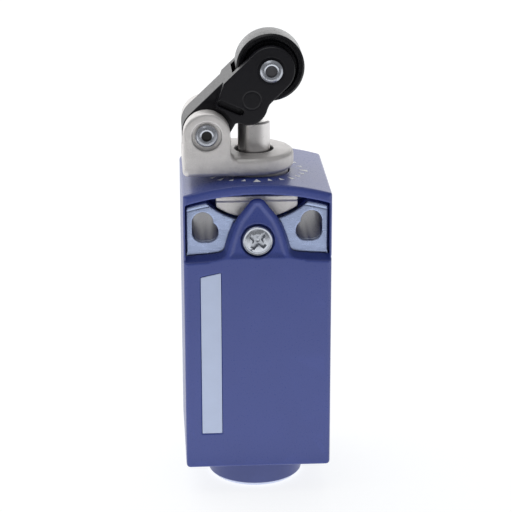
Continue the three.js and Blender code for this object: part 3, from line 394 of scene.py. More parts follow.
def material(name, colour, roughness, metallic=0.0, grain=0.25, depth=0.004, mottle=4.0,
             variation=0.06, spread=0.05, stretch=(1, 1, 1), wear=0.0, specular=0.5, coat=0.0, rim_highlight_height=0.0):
    """A finish with fine grain, colour that drifts slightly, uneven gloss and lightly worn edges.

    grain and mottle are sizes in millimetres, depth is the grain's height in millimetres;
    the rim height is how far up from the piece's foot a pale colour is painted as a highlight, standing in
    for the floor's reflection on the lower edge.
    """
    made = bpy.data.materials.new(name)
    made.use_nodes = True
    tree = made.node_tree
    shader = tree.nodes["Principled BSDF"]
    link = tree.links.new
    shader.inputs["Metallic"].default_value = metallic
    shader.inputs["Specular IOR Level"].default_value = specular
    shader.inputs["Coat Weight"].default_value = coat
    shader.inputs["Coat Roughness"].default_value = 0.25

    place_on = tree.nodes.new("ShaderNodeTexCoord")
    mapping = tree.nodes.new("ShaderNodeMapping")
    mapping.inputs["Scale"].default_value = stretch
    link(place_on.outputs["Object"], mapping.inputs["Vector"])

    def noise(size, detail, vector):
        texture = tree.nodes.new("ShaderNodeTexNoise")
        texture.inputs["Scale"].default_value = 1 / (size * MM)
        texture.inputs["Detail"].default_value = detail
        texture.inputs["Roughness"].default_value = 0.6
        link(vector, texture.inputs["Vector"])
        return texture.outputs["Fac"]

    drift = noise(mottle, 4, place_on.outputs["Object"])
    fine = noise(grain, 3, mapping.outputs["Vector"])

    tone = tree.nodes.new("ShaderNodeMapRange")
    tone.inputs["From Min"].default_value = 0.3
    tone.inputs["From Max"].default_value = 0.7
    link(drift, tone.inputs["Value"])
    shade = tree.nodes.new("ShaderNodeMix")
    shade.data_type = "RGBA"
    shade.inputs["A"].default_value = scaled(colour, 1 - variation)
    shade.inputs["B"].default_value = scaled(colour, 1 + variation)
    link(tone.outputs["Result"], shade.inputs["Factor"])
    base = shade.outputs["Result"]

    if wear > 0:
        geometry = tree.nodes.new("ShaderNodeNewGeometry")
        edges = tree.nodes.new("ShaderNodeMapRange")
        edges.inputs["From Min"].default_value = 0.52
        edges.inputs["From Max"].default_value = 0.62
        edges.inputs["To Max"].default_value = wear
        link(geometry.outputs["Pointiness"], edges.inputs["Value"])
        worn = tree.nodes.new("ShaderNodeMix")
        worn.data_type = "RGBA"
        worn.inputs["B"].default_value = scaled(colour, 1.7)
        link(edges.outputs["Result"], worn.inputs["Factor"])
        link(base, worn.inputs["A"])
        base = worn.outputs["Result"]

    # Painted highlight: below the given height the base colour is mixed towards a pale colour, standing in
    # for the floor's reflection on a lower chamfer.
    if rim_highlight_height > 0:
        split = tree.nodes.new("ShaderNodeSeparateXYZ")
        link(place_on.outputs["Object"], split.inputs["Vector"])
        rim = tree.nodes.new("ShaderNodeMapRange")
        rim.inputs["From Min"].default_value = (rim_highlight_height + 0.08) * MM
        rim.inputs["From Max"].default_value = (rim_highlight_height - 0.08) * MM
        link(split.outputs["Z"], rim.inputs["Value"])
        highlight_mix = tree.nodes.new("ShaderNodeMix")
        highlight_mix.data_type = "RGBA"
        highlight_mix.inputs["B"].default_value = RIM_HIGHLIGHT_COLOUR
        link(rim.outputs["Result"], highlight_mix.inputs["Factor"])
        link(base, highlight_mix.inputs["A"])
        base = highlight_mix.outputs["Result"]
    link(base, shader.inputs["Base Color"])

    gloss = tree.nodes.new("ShaderNodeMapRange")
    gloss.inputs["From Min"].default_value = 0.3
    gloss.inputs["From Max"].default_value = 0.7
    gloss.inputs["To Min"].default_value = max(roughness - spread, 0.02)
    gloss.inputs["To Max"].default_value = roughness + spread
    link(fine, gloss.inputs["Value"])
    link(gloss.outputs["Result"], shader.inputs["Roughness"])

    bump = tree.nodes.new("ShaderNodeBump")
    bump.inputs["Strength"].default_value = 1.0
    bump.inputs["Distance"].default_value = depth * MM
    link(fine, bump.inputs["Height"])
    link(bump.outputs["Normal"], shader.inputs["Normal"])
    return made


BLUE = material("blue_plastic", srgb(63, 78, 150), 0.3, grain=0.3, depth=0.006, mottle=9, variation=0.03,
                spread=0.04, wear=0.08, specular=0.5)
# Its lower 0.85 mm gets a painted pale highlight, standing in for the chamfer's reflection of the floor.
ENTRY_BLUE = material("entry_plastic", srgb(84, 95, 156), 0.36, grain=0.4, depth=0.006, mottle=7,
                      variation=0.05, wear=0.15, rim_highlight_height=0.85)
BLACK = material("black_plastic", srgb(11, 10, 18), 0.38, grain=0.35, depth=0.006, mottle=5, variation=0.12,
                 spread=0.05, wear=0.06, specular=0.35)
ROLLER_BLACK = material("roller_plastic", srgb(10, 10, 15), 0.28, grain=0.5, depth=0.004, mottle=4,
                        variation=0.12, spread=0.06, wear=0.05, specular=0.35)
IVORY = material("ivory_plastic", srgb(226, 221, 205), 0.5, grain=0.3, depth=0.006, mottle=6, variation=0.04)
RUBBER = material("seal_rubber", srgb(26, 25, 25), 0.7, grain=0.2, depth=0.01, mottle=3, variation=0.15)
ZINC = material("zinc_casting", srgb(224, 221, 219), 0.5, metallic=0.7, grain=0.28, depth=0.05, mottle=2.2,
                variation=0.07, spread=0.08, wear=0.2)
PLATED = material("plated_steel", srgb(158, 171, 202), 0.3, metallic=0.9, grain=0.16, depth=0.003, mottle=6,
                  variation=0.06, spread=0.07, stretch=(0.08, 1, 1), wear=0.25)
POLISHED = material("polished_steel", srgb(232, 229, 228), 0.32, metallic=0.9, grain=0.12, depth=0.002,
                    mottle=3, variation=0.04, spread=0.05, stretch=(0.1, 0.1, 1))
RIVET = material("rivet_steel", srgb(184, 188, 196), 0.3, metallic=1.0, grain=0.2, depth=0.002, mottle=1.5,
                 variation=0.06, spread=0.05, wear=0.1)
SPRING = material("spring_steel", srgb(168, 168, 170), 0.32, metallic=1.0, grain=0.1, depth=0.002, mottle=2)
BRASS = material("brass", srgb(205, 172, 100), 0.32, metallic=1.0, grain=0.15, depth=0.003, mottle=2.5)
SILVER = material("silver_contact", srgb(214, 208, 196), 0.3, metallic=1.0, grain=0.15, depth=0.003, mottle=2)
FILM = material("label_film", srgb(194, 207, 236), 0.34, grain=0.2, depth=0.002, mottle=5, variation=0.025,
                coat=0.2)
# Dark grey painted shade for the disc that closes the axle rivet's bore.
BORE_SHADE = material("painted_bore_shade", srgb(70, 70, 74), 0.5, grain=0.2, depth=0.006, mottle=1.0, variation=0.2)
INK = material("dial_ink", srgb(250, 252, 255), 0.5, grain=0.12, depth=0.003, mottle=0.8, variation=0.06)

SLOT_MATERIALS = {
    "blue_plastic": BLUE, "entry_plastic": ENTRY_BLUE, "black_plastic": BLACK, "ivory_plastic": IVORY,
    "seal_rubber": RUBBER, "zinc_casting": ZINC, "plated_steel": PLATED, "polished_steel": POLISHED,
    "rivet_steel": RIVET, "spring_steel": SPRING, "brass": BRASS, "silver_contact": SILVER,
    "label_film": FILM,
}
for entry in frame["record"]["subparts"]:
    node_mesh = frame["nodes"][entry["node"]].data
    node_mesh.materials.clear()
    node_mesh.materials.append(SLOT_MATERIALS[entry["material_slot"]])


# ---------- Body ----------
def envelope():
    """The outside of housing and cover together, with the arched crown."""
    elevation = rounded(arch(HALF, UNDERSIDE, CROWN), CORNER * 0.8)
    plan = rounded(rectangle(-HALF, HALF, FRONT, BACK), CORNER, 8)
    solid = prism(elevation, "y", FRONT, BACK, BODY_EDGE, 5)
    return common(solid, prism(plan, "z", UNDERSIDE - 1, CROWN + 1))


def sloped_arch(level, y0, y1, bottom):
    """Everything below an arched surface that rises towards the back."""
    solid = prism(arch(HALF + 1, bottom, level, CREASE_RADIUS), "y", y0, y1)
    for vertex in solid.data.vertices:
        vertex.co.z += SLOPE * (vertex.co.y - FRONT)
    return solid


def fixing_holes(y0, y1, allowance):
    radius = FIXING_RADIUS + allowance
    slot_z = FIXING_Z + SLOT_RISE
    tools = []
    for side in (-1, 1):
        outline = arc(side * SLOT_X, slot_z + SLOT_REACH, radius, 0, 1)
        outline += arc(side * SLOT_X, slot_z - SLOT_REACH, radius, 1, 2)
        tools.append(prism(outline, "y", y0, y1))
        tools.append(rod("y", radius, y0, y1, (side * ROUND_HOLE_X, FIXING_Z)))
    return tools


def lock_outline(half_width, top, radius):
    """Flat on top, concentric with the plate's cut-out below."""
    angle = math.asin(half_width / radius) / math.pi
    return arc(0, CUT_CENTRE, radius, 1.5 - angle, 1.5 + angle) + [(half_width, top), (-half_width, top)]


def make_housing():
    inside = HALF - HOUSING_WALL
    jaw_top = GROOVE_TOP - GAP
    jaw_bottom = GROOVE_BOTTOM + GAP
    outer = cut(
        envelope(),
        sloped_arch(CREASE + GAP, FRONT - 1, PLATE_FRONT, UNDERSIDE - 2),
        prism(arch(HALF + 1, UNDERSIDE - 2, PLATE_BOTTOM - GAP - 0.1), "y", FRONT - 1, HOUSING_FRONT),
        prism(rounded(arch(HALF - SIDE_RIM, UNDERSIDE, CROWN - LIP_HEIGHT), 0.5), "y", FRONT - 1, BLOCK_FACE),
    )
    cover_inside = HALF - COVER_WALL - GAP
    tongue_front = HEAD_Y - 9.2
    tongue = block(-cover_inside, cover_inside, tongue_front, HOUSING_FRONT + 1, UNDERSIDE, UNDERSIDE + FLOOR)
    arms = []
    for side in (-1, 1):
        x0 = side * KNUCKLE_X - 1
        arms.append(rod("x", KNUCKLE_RADIUS, x0, x0 + 2, (HINGE_Y, HINGE_Z)))
        arms.append(block(x0, x0 + 2, HINGE_Y, tongue_front + 1, HINGE_Z - 0.8, UNDERSIDE + FLOOR))
    solid = cut(
        join(outer, tongue, *arms),
        block(-inside, inside, HOUSING_FRONT - 1, BACK - COVER_WALL, UNDERSIDE + FLOOR, CAVITY_TOP),
        rod("x", PIN_BORE, -HALF, HALF, (HINGE_Y, HINGE_Z), 24),
        rod("z", 8.6, UNDERSIDE - 1, UNDERSIDE + FLOOR + 1, (0, HEAD_Y), 96),
        rod("z", SPIGOT_RADIUS + GAP, BRACKET_LOW.z - GAP, CROWN + 1, (0, HEAD_Y), 96),
        rod("z", 2.3, CAVITY_TOP - 1, BRACKET_LOW.z, (0, HEAD_Y)),
        rod("z", SEAL_HIGH.x + 0.25, SEAL_LOW.z - 0.25, SEAL_HIGH.z + 0.25, (0, HEAD_Y), 96),
        rod("y", 2.6, BLOCK_FACE - 1, BLOCK_FACE + 5.1, (0, SCREW_Z)),
        prism(lock_outline(LOCK_HIGH.x + 2.2, LOCK_HIGH.z + GAP, CUT_RADIUS), "y", BLOCK_FACE - 1,
              LOCK_LOW.y + LOCK_FLANGE + NOTCH_DEPTH),
        block(LOCK_LOW.x, LOCK_HIGH.x, BLOCK_FACE - 1, HEAD_Y - 2, jaw_bottom - GAP, jaw_top + GAP),
        *fixing_holes(BLOCK_FACE - 1, BACK + 1, 0.2),
    )
    soften(solid, 0.2, 3, 0.22)
    return finish_piece(solid, "housing_moulding", BLUE, "root", ["housing"])


# ---------- Cover ----------
TAB_TIP_RADIUS = 1.9
TAB_TIP_DROP = 0.4
TAB_SHOULDER = 3.9
TAB_FOOT = 6.9
TAB_EDGE = 0.65
TAB_DRAFT = 3.2
TAB_TILT = 0.08
POCKET_RIM = 1.15
POCKET_DEPTH = 0.4
FLARE = 1.7


def tab_outline():
    """A rounded tip that flares down into the crease line."""
    tip_z = COVER_HIGH.z - TAB_TIP_DROP - TAB_TIP_RADIUS
    shoulder_z = SCREW_Z + 4.8
    foot_z = CREASE + 1.6
    right = [(TAB_FOOT + 2.5, CREASE - 2), (TAB_FOOT + 2.5, CREASE)]
    right += curve(right[-1], (TAB_FOOT, CREASE + 0.2), (TAB_FOOT - 0.6, foot_z))
    right += curve(right[-1], (TAB_FOOT - 1.4, SCREW_Z + 1.6), (TAB_SHOULDER, shoulder_z))
    tip = arc(0, tip_z, TAB_TIP_RADIUS, 0.17, 0.5, 10)
    half = right + tip
    return half + [(-x, z) for x, z in reversed(half[:-1])]


def outline_distance(outline, x, z):
    """Distance to a closed outline, negative inside it."""
    nearest = np.full(x.shape, 1e9)
    inside = np.zeros(x.shape, bool)
    for (ax, az), (bx, bz) in zip(outline, outline[1:] + outline[:1]):
        ex, ez = bx - ax, bz - az
        length = max(ex * ex + ez * ez, 1e-12)
        t = np.clip(((x - ax) * ex + (z - az) * ez) / length, 0, 1)
        nearest = np.minimum(nearest, np.hypot(x - ax - t * ex, z - az - t * ez))
        if abs(ez) > 1e-12:
            crosses = (az > z) != (bz > z)
            inside ^= crosses & (x < ax + (z - az) * ex / ez)
    return np.where(inside, -nearest, nearest)


def soft_min(a, b, width):
    blend = np.clip(0.5 + 0.5 * (b - a) / width, 0, 1)
    return b * (1 - blend) + a * blend - width * blend * (1 - blend)


def soft_step(value, low, high):
    t = np.clip((value - low) / (high - low), 0, 1)
    return t * t * (3 - 2 * t)


def cover_relief(x, z):
    """How far the cover's face lies behind its front plane."""
    above = z - (CREASE - CREASE_RADIUS + np.sqrt(CREASE_RADIUS ** 2 - x ** 2))
    crease = np.where(above > 0.25, above, np.where(above < -0.25, 0, (above + 0.25) ** 2))
    outside = outline_distance(tab_outline(), x, z)
    edge = np.clip((outside + TAB_EDGE) / TAB_EDGE, 0, 1)
    wall = TAB_EDGE * (1 - np.sqrt(np.clip(1 - edge ** 2, 0, 1))) * 0.8 + np.clip(outside, 0, 9) * TAB_DRAFT
    tilt = TAB_TILT * crease
    pocket = POCKET_DEPTH * soft_step(-outside, POCKET_RIM - 0.45, POCKET_RIM + 0.45)
    pocket *= soft_step(above, 0.1, 1.4)
    return soft_min(wall + tilt + pocket, crease / SLOPE, FLARE)


def relief_block():
    """A closed block whose front follows the relief."""
    step = 0.15
    xs = np.arange(-HALF - 1, HALF + 1 + step / 2, step)
    rows = [UNDERSIDE - 2, 20, 35, 45]
    zs = np.concatenate([np.array(rows, float), np.arange(CREASE - 2, COVER_HIGH.z + 2, step)])
    grid_x, grid_z = np.meshgrid(xs, zs)
    depth = np.clip(cover_relief(grid_x, grid_z), 0, 4)
    front = np.stack([grid_x, FRONT - 0.001 + depth, grid_z], -1).reshape(-1, 3)
    back = np.stack([grid_x, np.full(grid_x.shape, COVER_HIGH.y + 1), grid_z], -1).reshape(-1, 3)
    columns, count = len(xs), len(front)
    faces = []
    for j in range(len(zs) - 1):
        for i in range(columns - 1):
            a = j * columns + i
            quad = (a, a + 1, a + 1 + columns, a + columns)
            faces.append(quad)
            faces.append(tuple(count + v for v in reversed(quad)))
    rim = list(range(columns)) + [columns - 1 + j * columns for j in range(1, len(zs))]
    rim += [len(front) - 1 - i for i in range(1, columns)]
    rim += [(len(zs) - 1 - j) * columns for j in range(1, len(zs))]
    for a, b in zip(rim, rim[1:]):
        faces.append((b, a, count + a, count + b))
    return add_mesh("tool", [tuple(p) for p in np.concatenate([front, back])], faces)


def label_outline(grow):
    """The label's strip, cut slightly aslant along its top."""
    x0, x1 = LABEL_LOW.x - grow, LABEL_HIGH.x + grow
    return [(x0, LABEL_LOW.z - grow), (x1, LABEL_LOW.z - grow), (x1, LABEL_HIGH.z + grow),
            (x0, LABEL_HIGH.z - 0.9 + grow)]


def make_cover():
    inside = HALF - COVER_WALL
    below = prism(arch(HALF + 1, UNDERSIDE - 1, COVER_CEILING), "y", FRONT - 1, COVER_HIGH.y)
    face = block(-HALF - 1, HALF + 1, FRONT - 1, PLATE_NEAR, CREASE - 6, COVER_HIGH.z + 0.2)
    shell = common(envelope(), join(below, face))
    shell = common(shell, relief_block())
    shell = cut(shell, block(-inside, inside, FRONT + COVER_WALL, BACK, UNDERSIDE - 1, CAVITY_TOP))
    rail = rod("x", KNUCKLE_RADIUS + 0.1, -inside - 0.5, inside + 0.5, (HINGE_Y, HINGE_Z))
    notches = []
    for side in (-1, 1):
        x0 = side * KNUCKLE_X - 1 - GAP
        x1 = x0 + 2 + 2 * GAP
        notches.append(rod("x", KNUCKLE_RADIUS + 0.2, x0, x1, (HINGE_Y, HINGE_Z)))
        notches.append(block(x0, x1, HINGE_Y - 1.2, HINGE_Y + 3, UNDERSIDE - 1, HINGE_Z))
    head_back = SCREW_LOW.y + SCREW_HEAD
    solid = cut(
        join(shell, rail),
        *notches,
        rod("x", PIN_BORE, -inside - 0.6, inside + 0.6, (HINGE_Y, HINGE_Z), 24),
        rod("y", SCREW_HEAD_RADIUS + 0.35, FRONT - 1, head_back + GAP, (0, SCREW_Z)),
        rod("y", SCREW_SHANK + 0.5, FRONT - 1, PLATE_NEAR + 1, (0, SCREW_Z)),
        block(-6.3, 6.3, LOCK_LOW.y - 1.8, PLATE_FRONT, SCREW_Z + 3.6, CROWN),
        prism(label_outline(0.12), "y", FRONT - 1, FRONT + 0.32),
    )
    soften(solid, 0.15, 3, 0.25)
    return finish_piece(solid, "cover_moulding", BLUE, "cover", ["front_cover"])


def make_label():
    solid = prism(rounded(label_outline(0), 0.15), "y", LABEL_LOW.y, LABEL_HIGH.y, 0.05, 3)
    return finish_piece(solid, "label_strip", FILM, "cover", ["cover_label"], 40)


# ---------- Plate, lock and screw ----------
LINE_DROP = 0.75
LINE_WIDTH = 0.2
LINE_DEPTH = 0.13
CROSS_TURN = 38


def make_plate():
    top = arch(PLATE_HIGH.x, PLATE_BOTTOM - 6, PLATE_TOP)
    solid = prism(rounded(top, 0.4), "y", PLATE_FRONT, PLATE_BACK, 0.12, 3)
    line = cut(
        prism(arch(PLATE_HIGH.x + 1, PLATE_BOTTOM, PLATE_TOP - LINE_DROP), "y",
              PLATE_FRONT - 1, PLATE_FRONT + LINE_DEPTH),
        prism(arch(PLATE_HIGH.x + 2, PLATE_BOTTOM - 1, PLATE_TOP - LINE_DROP - LINE_WIDTH), "y",
              PLATE_FRONT - 2, PLATE_FRONT + 1),
    )
    cut(
        solid,
        prism(arch(PLATE_HIGH.x + 1, PLATE_BOTTOM - 8, PLATE_BOTTOM), "y", PLATE_FRONT - 1, PLATE_BACK + 1),
        rod("y", CUT_RADIUS, PLATE_FRONT - 1, PLATE_BACK + 1, (0, CUT_CENTRE), 256),
        rod("y", SCREW_SHANK + 0.8, PLATE_FRONT - 1, PLATE_BACK + 1, (0, SCREW_Z)),
        line,
        *fixing_holes(PLATE_FRONT - 1, PLATE_BACK + 1, 0),
    )
    soften(solid, 0.1, 2, 0.35)
    return finish_piece(solid, "fixing_plate_pressing", PLATED, "root", ["fixing_plate"])


def make_lock():
    jaw_top = GROOVE_TOP - GAP
    jaw_back = HEAD_Y - 3.2
    outline = lock_outline(LOCK_HIGH.x, LOCK_HIGH.z, CUT_RADIUS - LOCK_CLEARANCE)
    front = prism(rounded(outline, 0.35), "y", LOCK_LOW.y, LOCK_LOW.y + LOCK_FLANGE, 0.15, 3)
    jaws = common(
        block(LOCK_LOW.x + GAP, LOCK_HIGH.x - GAP, LOCK_LOW.y + 0.7, jaw_back, GROOVE_BOTTOM + GAP, jaw_top),
        prism(outline, "y", LOCK_LOW.y, jaw_back),
    )
    solid = cut(
        join(front, jaws),
        rod("z", GROOVE_RADIUS + GAP, jaw_top - 9, jaw_top + 9, (0, HEAD_Y), 96),
        block(-LOCK_HIGH.x - 1, LOCK_HIGH.x + 1, LOCK_LOW.y - 1, LOCK_LOW.y + 0.3, LOCK_HIGH.z - 1.0,
              LOCK_HIGH.z - 0.75),
        block(-LOCK_HIGH.x - 1, LOCK_HIGH.x + 1, LOCK_LOW.y - 1, LOCK_LOW.y + 0.18, LOCK_HIGH.z - 0.8,
              LOCK_HIGH.z + 1),
    )
    soften(solid, 0.1, 2, 0.4)
    return finish_piece(solid, "head_lock_casting", ZINC, "head_lock", ["head_lock_slide"])


def make_cover_screw():
    """Pan head with a raised rim, a combined cross and slot recess, and a threaded shank."""
    front = SCREW_LOW.y
    back = front + SCREW_HEAD
    tip = SCREW_HIGH.y
    radius = SCREW_HEAD_RADIUS
    crown = [(0, front), (1.6, front + 0.02), (2.3, front + 0.12), (2.5, front + 0.3), (2.68, front + 0.3),
             (radius - 0.2, front + 0.22), (radius, front + 0.5), (radius, back), (SCREW_SHANK, back)]
    thread, level, pitch = [], back + 0.7, 0.5
    while level < tip - 0.9:
        thread += [(SCREW_SHANK - 0.28, level), (SCREW_SHANK, level + pitch / 2)]
        level += pitch
    profile = crown + thread + [(SCREW_SHANK - 0.3, tip - 0.4), (SCREW_SHANK - 0.7, tip), (0, tip)]
    solid = lathe(profile, "y", (SCREW_X, SCREW_Z), 0.06)
    arms = []
    for turn in (0.0, 0.5):
        wide = prism(rectangle(-1.9, 1.9, -0.5, 0.5), "y", front - 1, front + 1.0, 0.0)
        wide.data.transform(Matrix.Rotation(turn * math.pi + math.radians(CROSS_TURN), 4, "Y"))
        wide.data.transform(Matrix.Translation((SCREW_X, 0, SCREW_Z)))
        arms.append(wide)
    centre = lathe([(0, front - 1), (1.15, front - 1), (1.15, front), (0.35, front + 1.1), (0, front + 1.15)],
                   "y", (SCREW_X, SCREW_Z))
    slot = prism(rectangle(-2.35, 2.35, -0.22, 0.22), "y", front - 1, front + 0.45)
    slot.data.transform(Matrix.Rotation(math.radians(CROSS_TURN - 90), 4, "Y"))
    slot.data.transform(Matrix.Translation((SCREW_X, 0, SCREW_Z)))
    cut(solid, *arms, centre, slot)
    return finish_piece(solid, "cover_screw_turned", RIVET, "cover_screw_body",
                        ["cover_screw"], 30)


# ---------- Cable entry ----------
def make_cable_entry():
    bore = 7.2
    top = UNDERSIDE - GAP
    flange = UNDERSIDE + FLOOR + GAP
    outer = ENTRY_HIGH.x
    neck = 8.3
    profile = [(bore + 0.9, 0.0), (outer - 0.8, 0.0), (outer, 0.8), (outer, top), (neck, top), (neck, flange),
               (neck + 0.9, flange), (neck + 0.9, ENTRY_HIGH.z), (bore + 0.7, ENTRY_HIGH.z)]
    level, pitch = ENTRY_HIGH.z - 0.6, 0.75
    while level > 1.6:
        profile += [(bore, level), (bore + 0.7, level - pitch / 2)]
        level -= pitch
    solid = lathe(profile, "z", (0, HEAD_Y), 0.1, 128)
    return finish_piece(solid, "cable_entry_moulding", ENTRY_BLUE, "root",
                        ["cable_entry"], 40)


# ---------- Head ----------
SEAT_RADIUS = 3.05
SEAT_DEPTH = 1.0
BASE_CORNER = 1.4
BASE_EDGE = 1.0
EAR_FILLET = 1.4


def make_bracket():
    reach = -BRACKET_LOW.x
    back = HEAD_Y + BRACKET_RADIUS
    front = HEAD_Y - BRACKET_RADIUS
    nose = arc(-NOSE_SETBACK, HEAD_Y, BRACKET_RADIUS, -0.5, 0.5, 48)
    corners = arc(-reach + BASE_CORNER, back - BASE_CORNER, BASE_CORNER, 0.5, 1.0, 6)
    corners += arc(-reach + BASE_CORNER, front + BASE_CORNER, BASE_CORNER, 1.0, 1.5, 6)
    base = prism(nose + corners, "z", BRACKET_BOTTOM, BRACKET_TOP, BASE_EDGE, 6)
    left, right = PIVOT_X - LEVER_RADIUS + 0.1, PIVOT_X + LEVER_RADIUS - 0.1
    foot = right + EAR_FILLET
    ear = [(left, BRACKET_BOTTOM + 1), (foot, BRACKET_BOTTOM + 1), (foot, BRACKET_TOP - 0.2)]
    ear += curve(ear[-1], (right, BRACKET_TOP), (right, BRACKET_TOP + 1.5), 8)
    ear += arc(PIVOT_X, PIVOT_Z, LEVER_RADIUS - 0.1, 0.0, 1.0, 40)
    ears = [prism(ear, "y", y, y + EAR_THICKNESS, 0.5, 4) for y in (front, back - EAR_THICKNESS)]
    low = BRACKET_LOW.z
    spigot = lathe([
        (0, low),
        (SPIGOT_RADIUS, low),
        (SPIGOT_RADIUS, GROOVE_BOTTOM),
        (GROOVE_RADIUS, GROOVE_BOTTOM),
        (GROOVE_RADIUS, GROOVE_TOP),
        (SPIGOT_RADIUS, GROOVE_TOP),
        (SPIGOT_RADIUS, BRACKET_BOTTOM + 1),
        (0, BRACKET_BOTTOM + 1),
    ], "z", (0, HEAD_Y), 0.15)
    solid = join(base, *ears, spigot)
    cut(
        solid,
        rod("z", GUIDE_RADIUS, CHAMBER_TOP - 1, BRACKET_TOP + 1, (0, HEAD_Y), 96),
        rod("z", PLUNGER_HIGH.x + GAP, low - 1, CHAMBER_TOP, (0, HEAD_Y), 96),
        rod("z", GUIDE_RADIUS + WIPER_WALL + 0.04, BRACKET_TOP - 1, BRACKET_TOP + 1, (0, HEAD_Y), 96),
        rod("y", PIVOT_RADIUS + FIT, front - 1, back + 1, (PIVOT_X, PIVOT_Z)),
        rod("y", SEAT_RADIUS, front - 1, front + SEAT_DEPTH, (PIVOT_X, PIVOT_Z)),
        rod("y", SEAT_RADIUS, back - SEAT_DEPTH, back + 1, (PIVOT_X, PIVOT_Z)),
    )
    soften(solid, 0.13, 3, 0.3)
    return finish_piece(solid, "bracket_casting", ZINC, "head", ["head_bracket"])


RIVET_HEAD = 0.8
# A dark disc sits in each rivet end's recess as painted shade, so the deep bore reads dark.
SHADE_DISC_THICKNESS = 0.3
SHADE_DISC_SETBACK = 0.45


def make_rivet(name, node, x, z, shank, body, bore, shade_disc_finish):
    """Rivet with rolled rims round a recess in each end; a dark disc in each recess is painted shade for the
    deep bore.
    """
    low, high = span(node)
    head = (high.x - low.x) / 2
    depth = SHADE_DISC_SETBACK + SHADE_DISC_THICKNESS / 2
    end = [(0, depth), (bore, depth), (bore + 0.05, 0.12), (bore + 0.4, 0), (head - 0.45, 0.02),
           (head, 0.4), (head - 0.05, RIVET_HEAD), (shank, RIVET_HEAD)]
    profile = [(radius, low.y + level) for radius, level in end]
    profile += [(radius, high.y - level) for radius, level in reversed(end)]
    solid = lathe(profile, "y", (x, z), 0.15)
    finish_piece(solid, name, RIVET, body, [node], 50)
    # Painted shade: a dark disc set into each end's recess stands in for the shade deep in the bore.
    for side, face in (("front", low.y + SHADE_DISC_SETBACK), ("rear", high.y - SHADE_DISC_SETBACK - SHADE_DISC_THICKNESS)):
        shade_disc = rod("y", bore + 0.03, face, face + SHADE_DISC_THICKNESS, (x, z), 96)
        finish_piece(shade_disc, f"{name}_core_{side}", shade_disc_finish, body, [], 40)


def make_plunger():
    rod_radius = 1.5
    shoulder = PLUNGER_HIGH.x
    top = PLUNGER_HIGH.z
    shoulder_top = CHAMBER_TOP - GAP
    profile = [(0, PLUNGER_LOW.z), (rod_radius, PLUNGER_LOW.z), (rod_radius, shoulder_top - 1.2),
               (shoulder, shoulder_top - 1.2), (shoulder, shoulder_top), (PLUNGER_RADIUS, shoulder_top),
               (PLUNGER_RADIUS, top - 0.35), (PLUNGER_RADIUS - 0.35, top), (0, top)]
    solid = lathe(profile, "z", (0, HEAD_Y), 0.12, 128)
    return finish_piece(solid, "plunger_turned", POLISHED, "plunger_body", ["plunger"], 40)


def make_wiper():
    low, high = WIPER_LOW.z, BRACKET_TOP - 0.1
    outer = GUIDE_RADIUS + WIPER_WALL
    profile = [(GUIDE_RADIUS, low), (outer, low), (outer, high - 0.25), (outer - 0.15, high - 0.05),
               (GUIDE_RADIUS + 0.1, high), (GUIDE_RADIUS, high - 0.3)]
    solid = lathe(profile, "z", (0, HEAD_Y), 0.08)
    return finish_piece(solid, "wiper_ring", RUBBER, "head", ["plunger_wiper"], 50)


# ---------- Lever and roller ----------
LEVER_LENGTH = math.hypot(AXLE_X - PIVOT_X, AXLE_Z - PIVOT_Z)
LEVER_TILT = math.atan2(AXLE_Z - PIVOT_Z, AXLE_X - PIVOT_X) / math.pi
LEAN = math.asin((LEVER_RADIUS - FORK_RADIUS) / LEVER_LENGTH) / math.pi
FORK_START = 9.6
FORK_RUN = 5.0
ROLLER_CLEARANCE = 0.8
HOLLOW_DEPTH = 1.2
SEAT_MARK = 0.12


def lever_outline(from_pivot):
    """Round both ends of the lever, with the presser's lobe over the plunger."""
    top_tangent = LEVER_TILT + 0.5 - LEAN
    if from_pivot:
        heel = PIVOT_Z - BRACKET_TOP - 0.35
        points = arc(PIVOT_X, PIVOT_Z, LEVER_RADIUS, top_tangent, 1.1, 24)
        points += arc(PIVOT_X, PIVOT_Z, heel, 1.1, 1.84, 30)
    else:
        direction = (LEVER_TILT - LEAN) * math.pi
        start = arc(PIVOT_X, PIVOT_Z, LEVER_RADIUS, top_tangent, top_tangent, 1)[0]
        points = [(start[0] + FORK_START * math.cos(direction), start[1] + FORK_START * math.sin(direction))]
        points += arc(PIVOT_X, PIVOT_Z, LEVER_RADIUS + 0.65, 0.39, 0.1, 20)
    lobe = arc(LOBE_X, LOBE_Z, LOBE_RADIUS, -0.66, -1 / 15, 30)
    tip = arc(AXLE_X, AXLE_Z, FORK_RADIUS, LEVER_TILT - 0.5, top_tangent, 48)
    tilt = LEVER_TILT * math.pi
    run_start = (tip[0][0] - FORK_RUN * math.cos(tilt), tip[0][1] - FORK_RUN * math.sin(tilt))
    return points + lobe + [run_start] + tip


